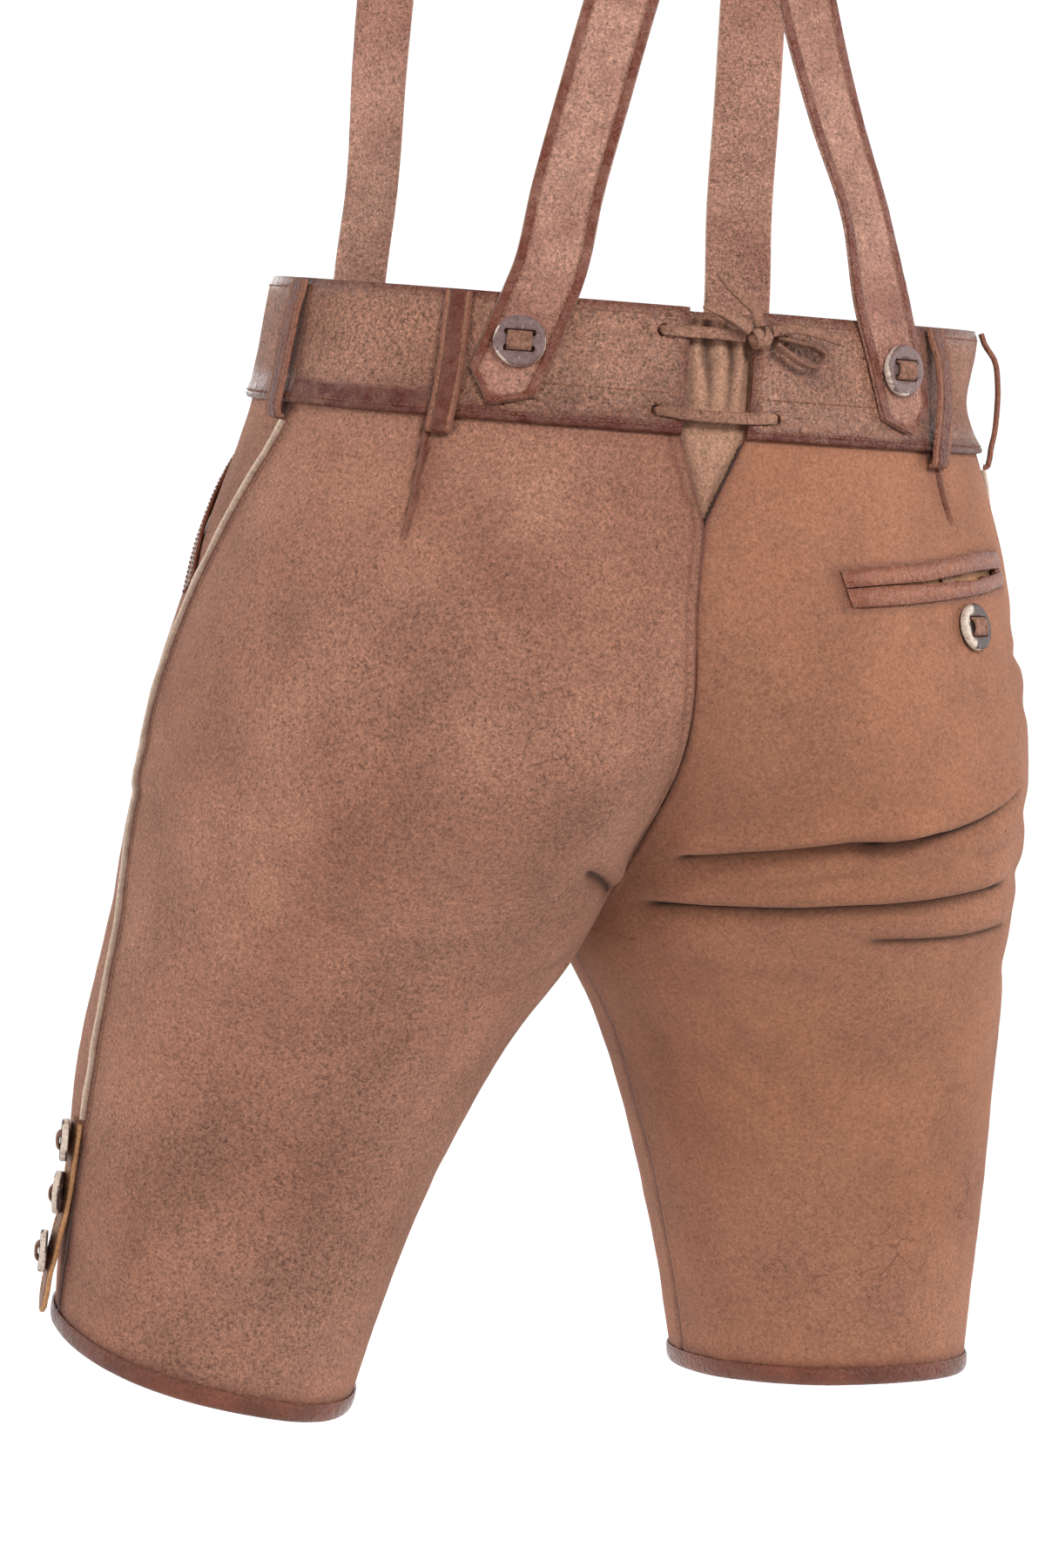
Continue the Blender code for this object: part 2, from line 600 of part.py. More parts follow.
def belt_loop(spec):
    """A strip stitched at the band's top, standing off it and turned in below it."""
    route = []
    for z, out, share in LOOP_ROUTE:
        point = layer(spec.side, spec.turn, z, out + spec.stand_off * share)
        beside = layer(spec.side, spec.turn + 1.0, z, out) - layer(spec.side, spec.turn - 1.0, z, out)
        route.append(np.concatenate((point, beside * -spec.side)))
    path = smooth_path(route, 14)
    sections = ribbon_sections(path[:, :3], path[:, 3:6], LOOP_WIDE / 2, LOOP_THICK)
    return loft(spec.name, sections, "strap_leather")


# ------------------------------------------------------------------ back pocket

# The slit of the right back pocket: turn, height of the slit, half its opening, and the
# height of the welt above and below.
Slit = namedtuple("Slit", "turn z open above below")
POCKET_SLIT = (
    Slit(75.5, -0.1265, 0.0003, 0.0075, 0.0085), Slit(68.0, -0.1242, 0.0004, 0.0078, 0.0088),
    Slit(60.0, -0.1222, 0.0007, 0.0078, 0.0082), Slit(52.0, -0.1200, 0.0016, 0.0078, 0.0072),
    Slit(44.0, -0.1180, 0.0020, 0.0078, 0.0066), Slit(38.0, -0.1168, 0.0014, 0.0076, 0.0064),
    Slit(32.0, -0.1160, 0.0005, 0.0070, 0.0062),
)
SLOT_HALF = 0.0032           # half the slot in the panel behind the welts
WELT_THICK = 0.0021


def slit_at(turn):
    """The slit's row at any turn."""
    rows = np.array(POCKET_SLIT)[::-1]
    return Slit(*(smooth(rows[:, 0], rows[:, k], turn) for k in range(len(Slit._fields))))


def pocket_strip(name, turns, low, high, out, thick, finish, rows=3):
    """A strip that follows the slit, between two heights measured from it."""
    outer, inner = [], []
    for share in np.linspace(0.0, 1.0, rows):
        crown = 0.0006 * math.sin(math.pi * share)
        heights = np.array([float(slit_at(t).z + low(t) + (high(t) - low(t)) * share) for t in turns])
        outer.append(layer(RIGHT, turns, heights, out + thick + crown))
        inner.append(layer(RIGHT, turns, heights, out))
    return wall(name, np.array(outer), np.array(inner), finish)


def back_pocket(panel_piece):
    """Slot, two welts, the facing seen through the slit and the tab for the button."""
    turns = np.linspace(75.5, 32.0, 15)
    slot = pocket_strip("cutter_pocket_slot", np.linspace(73.5, 34.0, 13),
                        lambda t: -SLOT_HALF, lambda t: SLOT_HALF, -0.006, 0.010, None, rows=2)
    cut(panel_piece, slot)
    pocket_strip("pocket_welt_upper", turns, lambda t: slit_at(t).open,
                 lambda t: slit_at(t).open + slit_at(t).above, GAP, WELT_THICK, "burnished_edge")
    pocket_strip("pocket_welt_lower", turns, lambda t: -slit_at(t).open - slit_at(t).below,
                 lambda t: -slit_at(t).open, GAP, WELT_THICK, "burnished_edge")
    pocket_strip("pocket_facing", turns, lambda t: -0.011, lambda t: 0.011,
                 -SUEDE - GAP - 0.0014, 0.0008, "facing_leather")
    pocket_strip("pocket_tab", np.linspace(54.5, 51.0, 3), lambda t: -SLOT_HALF + 0.0004,
                 lambda t: SLOT_HALF - 0.0004, -0.0022, 0.0012, "suede", rows=2)


# ------------------------------------------------------------------ front pockets and flap

FRONT_POCKET = ((-35.0, -0.0740), (-24.0, -0.0980), (-13.0, -0.1260), (-4.0, -0.1540))
FRONT_WELT_WIDE = 0.0110


def front_pocket_welt(side):
    """Welt of the slanted front pocket, a strip on the front panel."""
    route = []
    for turn, z in FRONT_POCKET:
        route.append(np.concatenate((layer(side, turn, z, GAP + 0.0013), outward(side, turn, z))))
    path = smooth_path(route, 14)
    across = np.cross(path[:, 3:6], directions(path[:, :3]))
    sections = ribbon_sections(path[:, :3], across, FRONT_WELT_WIDE / 2, 0.0018)
    return loft(f"front_pocket_welt_{SIDE_NAMES[side]}", sections, "burnished_edge")


# The drop front: height, half width and distance out of its underside.
Flap = namedtuple("Flap", "z half out")
FLAP = (
    Flap(-0.0060, 0.0740, 0.0031), Flap(-0.0240, 0.0740, 0.0031), Flap(-0.0420, 0.0725, 0.0031),
    Flap(-0.0550, 0.0715, 0.0040), Flap(-0.0605, 0.0710, 0.0040), Flap(-0.0680, 0.0705, 0.0028),
    Flap(-0.0800, 0.0695, 0.0012), Flap(-0.1050, 0.0675, 0.0009), Flap(-0.1300, 0.0650, 0.0009),
    Flap(-0.1550, 0.0620, 0.0010), Flap(-0.1750, 0.0585, 0.0012), Flap(-0.1880, 0.0540, 0.0014),
)


def front_flap():
    """The buttoned drop front, over the band and the two front panels."""
    outer, inner = [], []
    for row in FLAP:
        places = np.linspace(-row.half, row.half, 11)
        outer.append([centre_point(x, row.z, row.out + SUEDE, front=True) for x in places])
        inner.append([centre_point(x, row.z, row.out, front=True) for x in places])
    return wall("front_flap", np.array(outer), np.array(inner), "suede")


# ------------------------------------------------------------------ side seams and hems

def side_seam(side):
    """The raw-edged welt that stands up along a side seam."""
    half = 0.0011
    sections = []
    rows = [row for row in BACK_ROWS if SLIT_TOP + 0.010 < row < -BAND_TALL - 0.009]
    for z in rows + [SLIT_TOP + 0.0060]:
        seam = float(ring_at(z).seam)
        step = half / float(metres_per_degree(side, seam, z))
        sections.append([layer(side, seam + a * step, z, out)
                         for a, out in ((-1, GAP), (1, GAP), (0.7, 0.0034), (-0.7, 0.0034))])
    return loft(f"side_seam_{SIDE_NAMES[side]}", sections, "raw_edge")


HEM_PROFILE = (              # height over the panel's edge and distance out, a folded strip
    (HEM_TALL, GAP), (HEM_TALL, 0.0015), (0.0008, 0.0019), (-0.0016, 0.0008),
    (-0.0016, -SUEDE - 0.0008), (0.0008, -SUEDE - 0.0019), (HEM_TALL, -SUEDE - 0.0015),
    (HEM_TALL, -SUEDE - GAP), (-0.0004, -SUEDE - GAP), (-0.0004, GAP),
)


def hem_binding(side):
    """Glossy leather folded over the leg's lower edge, open at the side slit."""
    outline = []
    for rise, out in HEM_PROFILE:
        z = HEM + rise
        back = panel_turns(z, False, BACK_COLUMNS)[::-1]
        front = panel_turns(z, True, FRONT_COLUMNS)
        outline.append(layer(side, np.concatenate((back, front)), z, out))
    sections = np.swapaxes(np.array(outline), 0, 1)
    return loft(f"hem_binding_{SIDE_NAMES[side]}", sections, "burnished_edge")


def placket_stand(side, z):
    """How far a placket stands off the leg towards its loose foot: only the left one does."""
    return (0.0055 if side == LEFT else 0.0) * float(fade((SLIT_TOP - 0.026 - z) / 0.062))


def placket(side):
    """The buttoned strip in front of the side slit, rounded at its foot."""
    top, foot = SLIT_TOP + 0.004, HEM + (0.0055 if side == LEFT else HEM_TALL + 0.0016)
    route = []
    for z in np.linspace(top, foot, 13):
        seam = float(ring_at(z).seam)
        step = (PLACKET_WIDE / 2 + 0.0004) / float(metres_per_degree(side, seam, z))
        turn = seam - step
        rounded = PLACKET_WIDE / 2
        close = min(1.0, 0.35 + (z - foot) / 0.007)
        beside = layer(side, turn + 1.0, z, 0.0) - layer(side, turn - 1.0, z, 0.0)
        point = layer(side, turn, z, GAP + 0.0015 + placket_stand(side, z))
        route.append(np.concatenate((point, beside * -side, [rounded * close])))
    route = np.array(route)
    sections = ribbon_sections(route[:, :3], route[:, 3:6], route[:, 6], 0.0024, bend=4.0, lanes=3)
    return loft(f"knee_placket_{SIDE_NAMES[side]}", sections, "facing_leather")


# ------------------------------------------------------------------ braces

# A brace from its back button over the opposite shoulder: centre line, and the direction
# that its outer face looks.  It is the same, mirrored, on the other side.
Station = namedtuple("Station", "x y z nx ny nz")
BRACE = (
    Station(0.0760, 0.1120, 0.050, 0.45, 0.89, 0.10),
    Station(0.0620, 0.0990, 0.095, 0.38, 0.92, 0.08),
    Station(0.0470, 0.0890, 0.147, 0.28, 0.96, 0.00),
    Station(0.0270, 0.0880, 0.220, 0.15, 0.98, -0.08),
    Station(0.0000, 0.0960, 0.300, 0.00, 0.99, -0.05),
    Station(-0.0330, 0.0960, 0.370, -0.12, 0.95, 0.30),
    Station(-0.0600, 0.0620, 0.425, -0.16, 0.62, 0.77),
    Station(-0.0740, 0.0120, 0.446, -0.18, 0.05, 0.98),
    Station(-0.0830, -0.0380, 0.430, -0.15, -0.50, 0.85),
    Station(-0.0900, -0.0860, 0.375, -0.14, -0.93, 0.35),
    Station(-0.0950, -0.1080, 0.300, -0.16, -0.97, 0.15),
    Station(-0.0990, -0.1160, 0.200, -0.25, -0.96, 0.04),
    Station(-0.1010, -0.1160, 0.110, -0.35, -0.93, 0.00),
    Station(-0.1010, -0.1140, 0.050, -0.42, -0.90, 0.00),
)
BRACE_BUTTON_TURN = 60.0
BRACE_BUTTON_Z = -0.0230
BRACE_FRONT_X = 0.1030
BRACE_FRONT_Z = -0.0240
BRACE_TIP = 0.0310           # from the button to the pointed tip
BRACE_OUT = BAND_FACE + GAP + STRAP_THICK / 2 + 0.0006


def band_station(side, turn, z):
    """A brace station lying on the band."""
    return np.concatenate((layer(side, turn, z, BRACE_OUT), outward(side, turn, z)))


def brace_end(side, turn_button, z_button, lean, along):
    """A place on the band, measured along a brace from its button, up the brace."""
    scale = float(metres_per_degree(side, turn_button, z_button))
    turn = turn_button + along * math.sin(math.radians(lean)) / scale
    return band_station(side, turn, z_button + along * math.cos(math.radians(lean)))


def brace_stations(side):
    """The whole centre line of the brace that is buttoned at the back on this side."""
    back = [brace_end(side, BRACE_BUTTON_TURN, BRACE_BUTTON_Z, STRAP_LEAN, along)
            for along in (-BRACE_TIP, -0.020, -0.010, 0.0, 0.010, 0.020, 0.032)]
    middle = [(side * s.x, s.y, s.z, side * s.nx, s.ny, s.nz) for s in BRACE]
    turn = -float(turn_at(BRACE_FRONT_Z, BRACE_FRONT_X))
    front = [brace_end(-side, turn, BRACE_FRONT_Z, 0.0, along)
             for along in (0.032, 0.020, 0.010, 0.0, -0.010, -0.020, -BRACE_TIP)]
    return np.array(back + middle + front)


CROSSING_Z = 0.300
CROSSING_LIFT = 0.0024       # at the crossing one brace rides over the other


def brace(side):
    """One brace, pointed at both ends."""
    path = smooth_path(brace_stations(side), 64)
    from_crossing = np.abs(path[:, 2] - CROSSING_Z) / 0.060
    behind = fade(path[:, 1] / 0.05)
    lift = CROSSING_LIFT * fade(1.4 - from_crossing) * behind
    lift = lift if side == RIGHT else -lift
    path[:, :3] += path[:, 3:6] * lift[:, None]
    travelled = np.concatenate(([0.0], np.cumsum(np.linalg.norm(np.diff(path[:, :3], axis=0), axis=1))))
    from_tip = np.minimum(travelled, travelled[-1] - travelled)
    half = STRAP_WIDE / 2 * np.clip(0.12 + 0.88 * from_tip / 0.0115, 0.0, 1.0)
    across = np.cross(directions(path[:, :3]), path[:, 3:6])
    low = np.clip(1 - path[:, 2] / 0.060, 0.0, 1.0)
    sections = ribbon_sections(path[:, :3], across, half, STRAP_THICK, bend=0.6 + 3.0 * low, lanes=3)
    return loft(f"brace_{SIDE_NAMES[side]}", sections, "strap_leather")


# ------------------------------------------------------------------ buttons and thongs

def frame_on(side, turn, z, out, tilt=0.0):
    """Axes of a button on the leather: its face outwards, its slots level."""
    face = Vector(outward(side, turn, z))
    up = (Vector((0, 0, 1)) - face * face.z).normalized()
    up = (up + face * math.tan(math.radians(tilt))).normalized()
    right = up.cross(face).normalized()
    face = right.cross(up)
    place = Matrix((right, up, face)).transposed().to_4x4()
    place.translation = Vector(layer(side, turn, z, out))
    return place


def button(name, place, wide, sides=14):
    """A horn disc with softened rims and two slots for its thong."""
    shape = bmesh.new()
    bmesh.ops.create_cone(shape, cap_ends=True, segments=sides, radius1=wide / 2,
                          radius2=wide / 2, depth=BUTTON_THICK)
    rims = [edge for edge in shape.edges if abs(edge.verts[0].co.z - edge.verts[1].co.z) < 1e-6]
    bmesh.ops.bevel(shape, geom=rims, offset=0.0008, segments=1, affect="EDGES")
    bmesh.ops.translate(shape, vec=(0, 0, BUTTON_THICK / 2), verts=shape.verts)
    piece = add_piece(name, shape, "horn")
    piece.matrix_world = place
    slots = bmesh.new()
    for level in (-SLOT_APART / 2, SLOT_APART / 2):
        size = Matrix.Diagonal((wide * 0.61, SLOT_TALL, BUTTON_THICK * 3, 1.0))
        bmesh.ops.create_cube(slots, size=1.0, matrix=Matrix.Translation((0, level, 0)) @ size)
    cutter = add_piece("cutter_" + name, slots, None)
    cutter.matrix_world = place
    cut(piece, cutter)
    return piece


def button_thong(name, place, wide):
    """The leather that holds a button: through one slot, over the bar, into the other."""
    half, thick = wide * 0.24, 0.0017
    reach = SLOT_APART / 2
    top = BUTTON_THICK + 0.0004
    outline = ((-reach - thick / 2, 0.0001), (-reach - thick / 2, top + 0.0008),
               (-reach + 0.0004, top + thick), (reach - 0.0004, top + thick),
               (reach + thick / 2, top + 0.0008), (reach + thick / 2, 0.0001),
               (reach - thick / 2, 0.0001), (reach - thick / 2, top),
               (-reach + thick / 2, top), (-reach + thick / 2, 0.0001))
    sections = [[place @ Vector((x, y, z)) for y, z in outline] for x in (-half, half)]
    return loft(name, sections, "lace_leather")


def fasten(name, place, wide, with_thong=True):
    """A button, and the thong that ties it where it is a separate piece."""
    button(name, place, wide)
    if with_thong:
        button_thong(name.replace("button", "thong"), place, wide)


# The knee buttons: how far below the slit's top, and how far the left ones hang off.
KNEE_DROPS = ((0.0060, 0.0000), (0.0330, 0.0006), (0.0640, 0.0013))


def buttons():
    """Every horn button of the garment."""
    on_brace = BRACE_OUT + STRAP_THICK / 2 + GAP
    front_turn = -float(turn_at(BRACE_FRONT_Z, BRACE_FRONT_X))
    flap_turn = -float(turn_at(-0.0240, 0.0580))
    for side in (LEFT, RIGHT):
        end = SIDE_NAMES[side]
        fasten(f"button_brace_back_{end}",
               frame_on(side, BRACE_BUTTON_TURN, BRACE_BUTTON_Z, on_brace), BUTTON)
        fasten(f"button_brace_front_{end}",
               frame_on(side, front_turn, BRACE_FRONT_Z, on_brace), BUTTON)
        fasten(f"button_flap_{end}",
               frame_on(side, flap_turn, -0.0240, FLAP[0].out + SUEDE + GAP), KNEE_BUTTON)
        for number, (drop, lift) in enumerate(KNEE_DROPS, start=1):
            z = SLIT_TOP - drop
            seam = float(ring_at(z).seam)
            turn = seam - (PLACKET_WIDE / 2) / float(metres_per_degree(side, seam, z))
            out = GAP + 0.0027 + GAP + placket_stand(side, z) + (lift if side == LEFT else 0.0)
            fasten(f"button_knee_{number}_{end}", frame_on(side, turn, z, out), KNEE_BUTTON,
                   with_thong=False)
    fasten("button_pocket", frame_on(RIGHT, 50.8, -0.1430, GAP + 0.0002), POCKET_BUTTON)


# ------------------------------------------------------------------ the garment

def main():
    """Clear the scene and make every piece."""
    for old in list(bpy.data.objects):
        bpy.data.objects.remove(old, do_unlink=True)
    for side in (LEFT, RIGHT):
        end = SIDE_NAMES[side]
        back = panel(f"back_panel_{end}", side, front=False)
        panel(f"front_panel_{end}", side, front=True)
        band = waistband(f"waistband_back_{end}", side, front=False)
        waistband(f"waistband_front_{end}", side, front=True)
        cut_eyelets(band, side)
        side_seam(side)
        hem_binding(side)
        placket(side)
        front_pocket_welt(side)
        brace(side)
        if side == RIGHT:
            back_pocket(back)
    front_flap()
    back_gusset()
    lace()
    knot()
    for name, places in BOW.items():
        bow_strand(name, places)
    for spec in BELT_LOOPS:
        belt_loop(spec)
    buttons()


main()
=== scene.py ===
"""Looks of the suede lederhosen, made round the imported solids.

Metres, +Z up, the front faces -Y and the wearer's left is +X.  Every leather piece is laid
out on one surface, the outer face of the breeches, as it is in the part.  A place on it is
a side, a turn in degrees (0 at the side of the body, 90 at the seat, 180 at the inseam,
negative round the front), a height z, and a distance out from that face.
"""

import math
from collections import namedtuple

import bmesh
import bpy
import numpy as np
from mathutils import Matrix, Vector, noise


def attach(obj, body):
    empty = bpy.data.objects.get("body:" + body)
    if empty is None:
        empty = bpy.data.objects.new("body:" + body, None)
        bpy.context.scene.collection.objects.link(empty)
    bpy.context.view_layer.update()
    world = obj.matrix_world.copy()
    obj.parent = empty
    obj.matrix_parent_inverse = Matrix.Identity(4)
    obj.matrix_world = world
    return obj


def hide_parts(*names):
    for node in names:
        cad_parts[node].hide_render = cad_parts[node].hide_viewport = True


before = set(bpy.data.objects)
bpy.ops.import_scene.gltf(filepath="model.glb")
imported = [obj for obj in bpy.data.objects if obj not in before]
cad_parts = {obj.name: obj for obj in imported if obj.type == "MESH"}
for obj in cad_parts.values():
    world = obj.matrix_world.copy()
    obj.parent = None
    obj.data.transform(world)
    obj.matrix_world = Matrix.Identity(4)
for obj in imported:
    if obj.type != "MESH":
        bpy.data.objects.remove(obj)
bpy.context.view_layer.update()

LEFT, RIGHT = 1, -1
SIDE_NAMES = {LEFT: "L", RIGHT: "R"}

# ------------------------------------------------------------------ sizes, as in the part

SUEDE = 0.0022
GAP = 0.0004
HALF_SEAM = 0.0002
CLOSED_SEAM = 0.00008                    # half the gap of a seam that is sewn tight
BAND_TALL = 0.060
BAND_FACE = 0.0027
BAND_BACK = -0.0012
BAND_ROLL = 0.0036
PANEL_TOP = -0.0538
CROTCH = -0.312
HEM = -0.5355
HEM_TALL = 0.0078
NOTCH_HALF = 0.0165
NOTCH_TIP = -0.101
EYELET_X = 0.030
EYELET_UPPER = -0.0120
EYELET_LOWER = -0.0500
EYELET_WIDE = 0.0060
STRAP_WIDE = 0.0345
STRAP_THICK = 0.0026
STRAP_LEAN = 18.0
THONG_WIDE = 0.0055
THONG_THICK = 0.0018
BUTTON = 0.0245
POCKET_BUTTON = 0.0230
KNEE_BUTTON = 0.0212
BUTTON_THICK = 0.0038
SLOT_APART = 0.0075
SLOT_TALL = 0.0028
SLIT_TOP = -0.4340
PLACKET_WIDE = 0.0150
PLACKET_THICK = 0.0024
PLACKET_FACE = 0.0027                    # how far its outer face stands off its back
PLACKET_MARGIN = 0.0028                  # from a placket's edge to its row of stitches

# ------------------------------------------------------------------ cut of the breeches

Ring = namedtuple("Ring", "z x_out x_in x_mid y_back y_front y_mid seam")
RINGS = (
    Ring(0.030, 0.174, -0.174, 0.000, 0.125, -0.128, 0.000, 14.0),
    Ring(0.000, 0.176, -0.176, 0.000, 0.127, -0.129, 0.000, 14.0),
    Ring(-0.060, 0.184, -0.165, 0.000, 0.137, -0.132, 0.001, 14.0),
    Ring(-0.120, 0.201, -0.100, 0.018, 0.153, -0.134, 0.003, 3.0),
    Ring(-0.183, 0.217, -0.075, 0.050, 0.160, -0.135, -0.002, -3.0),
    Ring(-0.216, 0.222, -0.045, 0.070, 0.156, -0.138, -0.009, -4.0),
    Ring(-0.255, 0.226, -0.020, 0.090, 0.139, -0.138, -0.013, -4.0),
    Ring(-0.285, 0.228, -0.008, 0.103, 0.119, -0.136, -0.016, -3.0),
    Ring(CROTCH, 0.230, 0.0003, 0.114, 0.102, -0.134, -0.018, -1.0),
    Ring(-0.360, 0.235, 0.032, 0.132, 0.080, -0.134, -0.027, 3.0),
    Ring(-0.420, 0.240, 0.060, 0.149, 0.060, -0.131, -0.036, 6.0),
    Ring(-0.480, 0.241, 0.080, 0.160, 0.047, -0.123, -0.039, 3.0),
    Ring(-0.545, 0.242, 0.096, 0.169, 0.036, -0.113, -0.040, -3.0),
)
FULLNESS = 2.2

# How each leg hangs below the crotch: its inner side leans down and its back or its front
# hangs lower (both in metres for each metre), and the whole leg hangs lower by drop.
Hang = namedtuple("Hang", "z lean pitch drop")
HANG = {
    LEFT: (Hang(CROTCH, 0.00, 0.00, 0.0), Hang(-0.360, 0.08, -0.03, 0.0008),
           Hang(-0.420, 0.13, -0.07, 0.0026), Hang(-0.480, 0.16, -0.11, 0.0044),
           Hang(-0.545, 0.19, -0.13, 0.0050)),
    RIGHT: (Hang(CROTCH, 0.00, 0.00, 0.0), Hang(-0.360, 0.02, 0.02, 0.0010),
            Hang(-0.420, 0.03, 0.04, 0.0030), Hang(-0.480, 0.04, 0.07, 0.0052),
            Hang(-0.545, 0.04, 0.08, 0.0060)),
}

Sway = namedtuple("Sway", "z shift")
SEAT_SWAY = (Sway(0.030, 0.0), Sway(-0.030, 0.0), Sway(-0.060, 0.003), Sway(-0.100, 0.008),
             Sway(-0.140, 0.0105), Sway(-0.180, 0.007), Sway(-0.220, 0.002),
             Sway(-0.260, 0.0), Sway(-0.545, 0.0))
SWAY_REACH = 0.120
SEAT_DEEP = 0.080

# The first rows are the part's folds; the rest are the shallow creases between them.
Fold = namedtuple("Fold", "side turn_a z_a turn_b z_b sag depth width bulge")
FOLDS = (
    Fold(RIGHT, 139, -0.266, 70, -0.241, 0.000, 0.0080, 0.0060, 0.0045),
    Fold(RIGHT, 92, -0.2520, 38, -0.218, -0.004, 0.0045, 0.0060, 0.0030),
    Fold(RIGHT, 152, -0.291, 42, -0.268, -0.004, 0.0055, 0.0065, 0.0030),
    Fold(RIGHT, 92, -0.300, 40, -0.292, -0.002, 0.0030, 0.0060, 0.0015),
    Fold(LEFT, 150, -0.286, 118, -0.270, 0.000, 0.0035, 0.0060, 0.0020),
    Fold(LEFT, -142, -0.270, -92, -0.248, 0.004, 0.0040, 0.0070, 0.0020),
    Fold(RIGHT, -140, -0.266, -86, -0.244, 0.004, 0.0045, 0.0070, 0.0020),
    Fold(RIGHT, -146, -0.296, -84, -0.290, 0.003, 0.0030, 0.0070, 0.0015),
    Fold(RIGHT, 128, -0.279, 84, -0.262, -0.001, 0.0011, 0.0050, 0.0006),
    Fold(RIGHT, 66, -0.256, 34, -0.241, -0.002, 0.0012, 0.0050, 0.0006),
    Fold(RIGHT, 150, -0.316, 96, -0.322, -0.003, 0.0010, 0.0070, 0.0005),
    Fold(RIGHT, 150, -0.360, 118, -0.402, 0.000, 0.0010, 0.0080, 0.0005),
    Fold(LEFT, 148, -0.312, 104, -0.336, 0.000, 0.0012, 0.0090, 0.0006),
    Fold(LEFT, 146, -0.352, 100, -0.398, 0.002, 0.0010, 0.0100, 0.0005),
    Fold(LEFT, 128, -0.436, 72, -0.452, 0.002, 0.0007, 0.0080, 0.0004),
    Fold(LEFT, 96, -0.470, 48, -0.482, 0.001, 0.0006, 0.0070, 0.0004),
    Fold(RIGHT, 132, -0.430, 70, -0.424, -0.002, 0.0007, 0.0080, 0.0004),
    Fold(LEFT, -128, -0.232, -70, -0.205, 0.003, 0.0018, 0.0080, 0.0010),
    Fold(RIGHT, -122, -0.226, -62, -0.198, 0.002, 0.0020, 0.0080, 0.0010),
    Fold(LEFT, -150, -0.300, -96, -0.292, 0.002, 0.0022, 0.0080, 0.0011),
    Fold(LEFT, -152, -0.344, -108, -0.372, 0.002, 0.0013, 0.0090, 0.0006),
    Fold(RIGHT, -150, -0.338, -104, -0.356, 0.001, 0.0014, 0.0090, 0.0006),
    Fold(LEFT, -96, -0.440, -40, -0.452, -0.002, 0.0008, 0.0080, 0.0004),
    Fold(RIGHT, -104, -0.448, -44, -0.436, -0.002, 0.0008, 0.0080, 0.0004),
    Fold(RIGHT, 28, -0.300, -22, -0.286, -0.002, 0.0014, 0.0080, 0.0007),
    Fold(LEFT, 22, -0.262, -26, -0.246, -0.002, 0.0012, 0.0080, 0.0006),
)

# A soft-edged round place on one side, and how strong it is there: a hollow's depth in metres,
# or how dark a stain or how cracked the grain is, from 0 to 1.
Patch = namedtuple("Patch", "side turn z reach_turn reach_z strength")
HOLLOWS = (
    Patch(RIGHT, 17, -0.036, 22, 0.020, 0.0070),
    Patch(RIGHT, 20, -0.146, 12, 0.010, 0.0020),
    Patch(RIGHT, 24, -0.158, 13, 0.0050, 0.0026), Patch(RIGHT, 22, -0.182, 12, 0.0070, 0.0018),
    Patch(RIGHT, 18, -0.236, 16, 0.0080, 0.0030), Patch(RIGHT, 16, -0.318, 16, 0.0090, 0.0026),
    Patch(RIGHT, 30, -0.268, 14, 0.0070, 0.0022), Patch(LEFT, 60, -0.128, 16, 0.0120, 0.0012),
)

# A hide is never even: how far apart its soft lumps lie, and how high they are.
Lump = namedtuple("Lump", "size height")
LUMPS = (Lump(0.055, 0.00090), Lump(0.017, 0.00030), Lump(0.0065, 0.00011))


def smooth(knots, values, at):
    """Cubic curve through values at rising knots, held level beyond the last ones."""
    knots = np.asarray(knots, float)
    values = np.asarray(values, float)
    steps = np.diff(knots)
    rises = np.diff(values) / steps
    inner = (rises[:-1] * steps[1:] + rises[1:] * steps[:-1]) / (steps[:-1] + steps[1:])
    slopes = np.concatenate((rises[:1], inner, rises[-1:]))
    i = np.clip(np.searchsorted(knots, at) - 1, 0, len(steps) - 1)
    h = steps[i]
    f = np.clip((at - knots[i]) / h, 0.0, 1.0)
    start = values[i] * (1 + 2 * f) * (1 - f) ** 2 + h * slopes[i] * f * (1 - f) ** 2
    end = values[i + 1] * f * f * (3 - 2 * f) - h * slopes[i + 1] * f * f * (1 - f)
    return start + end


def fade(amount):
    """0 to 1 with soft ends."""
    f = held(amount)
    return f * f * (3 - 2 * f)


def ridge(distance, reach):
    """1 at a line, falling softly to 0 on both sides of it."""
    return np.exp(-(distance / reach) ** 2)


def held(amount):
    """An amount kept between 0 and 1."""
    return np.clip(amount, 0.0, 1.0)


def unit(vectors):
    """The same directions, each one long."""
    return vectors / np.linalg.norm(vectors, axis=-1, keepdims=True)


def travelled(points):
    """How far along a row of points each one lies."""
    steps = np.linalg.norm(np.diff(points, axis=0), axis=1)
    return np.concatenate(([0.0], np.cumsum(steps)))


def columns_at(table, at):
    """Every column of a table at the same places, where its first column falls."""
    rows = np.array(table)[::-1]
    return [smooth(rows[:, 0], column, at) for column in rows.T]


def ring_at(z):
    """The ring at any height, between the rows of RINGS."""
    return Ring(*columns_at(RINGS, z))


